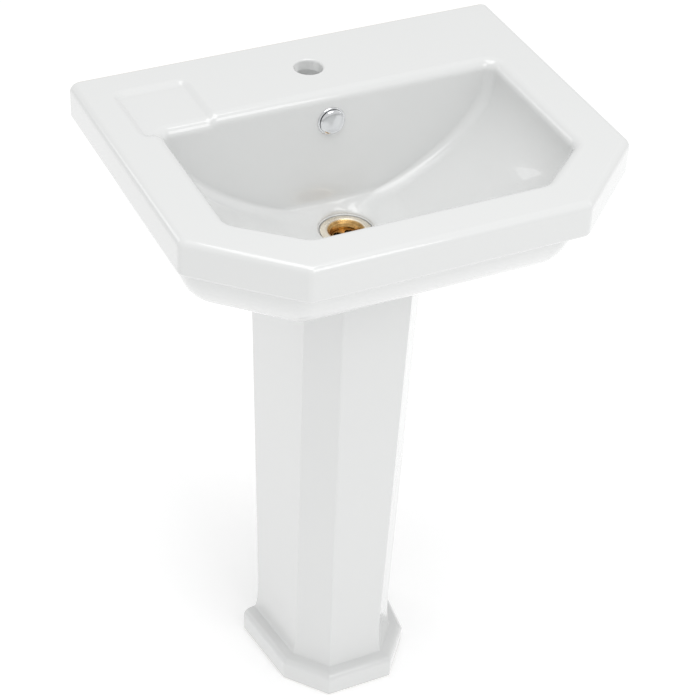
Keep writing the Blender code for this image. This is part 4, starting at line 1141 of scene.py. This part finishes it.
# these pieces keep their CAD shape and take only a finish
for node, slot in (("trap_body", "chrome"), ("trap_cup", "chrome"), ("trap_cup_seal", "rubber"),
                   ("waste_backnut", "brass"), ("bolt_nut_left", "steel"), ("bolt_nut_right", "steel"),
                   ("bedding_strip", "bedding")):
    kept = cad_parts[node]
    kept.data.materials.clear()
    kept.data.materials.append(materials[slot])


def makeFloor():
    letGo()
    bpy.ops.mesh.primitive_plane_add(size=14, location=(0, 0, 0))
    floor = bpy.context.object
    floor.name = "studio_floor"
    paint = bpy.data.materials.new("studio_floor")
    paint.use_nodes = True
    shader = paint.node_tree.nodes["Principled BSDF"]
    shader.inputs["Base Color"].default_value = (0.94, 0.94, 0.94, 1)
    shader.inputs["Roughness"].default_value = 0.9
    shader.inputs["Specular IOR Level"].default_value = 0.1
    shader.inputs["Emission Color"].default_value = (1, 1, 1, 1)
    shader.inputs["Emission Strength"].default_value = 0.20
    floor.data.materials.append(paint)


lamps = {
    "key": dict(place=(0.5, -2.2, 2.7), aim=(0, 0, 0.5), size=(1.3, 1.3), power=12),
    "left": dict(place=(-2.4, 2.6, 2.2), aim=(0, 0, 0.8), size=(0.8, 1.6), power=5),
    "right": dict(place=(2.6, -0.6, 1.8), aim=(0, 0, 0.4), size=(1.2, 2.0), power=3),
    "top": dict(place=(-0.3, -0.4, 3.4), aim=(0, 0, 0.4), size=(1.8, 1.8), power=24),
}
# degrees of turn to the left, of tilt down and of roll, millimetres of lens and sensor, metres of place
cameraSizes = dict(yaw=-27.106, pitch=37.707, roll=3.027, lens=106.04, sensor=36.0,
                   place=(-0.9278, -1.8015, 2.0997))


def makeLamp(name, place, aim, size, power):
    data = bpy.data.lights.new(name, "AREA")
    data.shape = "RECTANGLE"
    data.size, data.size_y = size
    data.energy = power
    lamp = bpy.data.objects.new(name, data)
    lamp.location = place
    lamp.rotation_euler = (Vector(aim) - Vector(place)).to_track_quat("-Z", "Y").to_euler()
    bpy.context.scene.collection.objects.link(lamp)


def makeCamera():
    yaw, pitch, roll = (math.radians(cameraSizes[key]) for key in ("yaw", "pitch", "roll"))
    forward = Vector((-math.sin(yaw) * math.cos(pitch), math.cos(yaw) * math.cos(pitch), -math.sin(pitch)))
    level = Vector((math.cos(yaw), math.sin(yaw), 0))
    upright = level.cross(forward)
    right = level * math.cos(roll) + upright * math.sin(roll)
    up = upright * math.cos(roll) - level * math.sin(roll)
    data = bpy.data.cameras.new("camera")
    data.lens = cameraSizes["lens"]
    data.sensor_width = cameraSizes["sensor"]
    camera = bpy.data.objects.new("camera", data)
    turn = Matrix((right, up, -forward)).transposed()
    camera.matrix_world = Matrix.Translation(cameraSizes["place"]) @ turn.to_4x4()
    bpy.context.scene.collection.objects.link(camera)
    bpy.context.scene.camera = camera


def makeWorld():
    world = bpy.data.worlds.new("studio")
    world.use_nodes = True
    world.node_tree.nodes["Background"].inputs["Color"].default_value = (1, 1, 1, 1)
    world.node_tree.nodes["Background"].inputs["Strength"].default_value = 0.75
    bpy.context.scene.world = world
    bpy.context.scene.view_settings.view_transform = "Standard"


makeFloor()
for name, settings in lamps.items():
    makeLamp(name, **settings)
makeCamera()
makeWorld()
print("stage made")

print("finished")
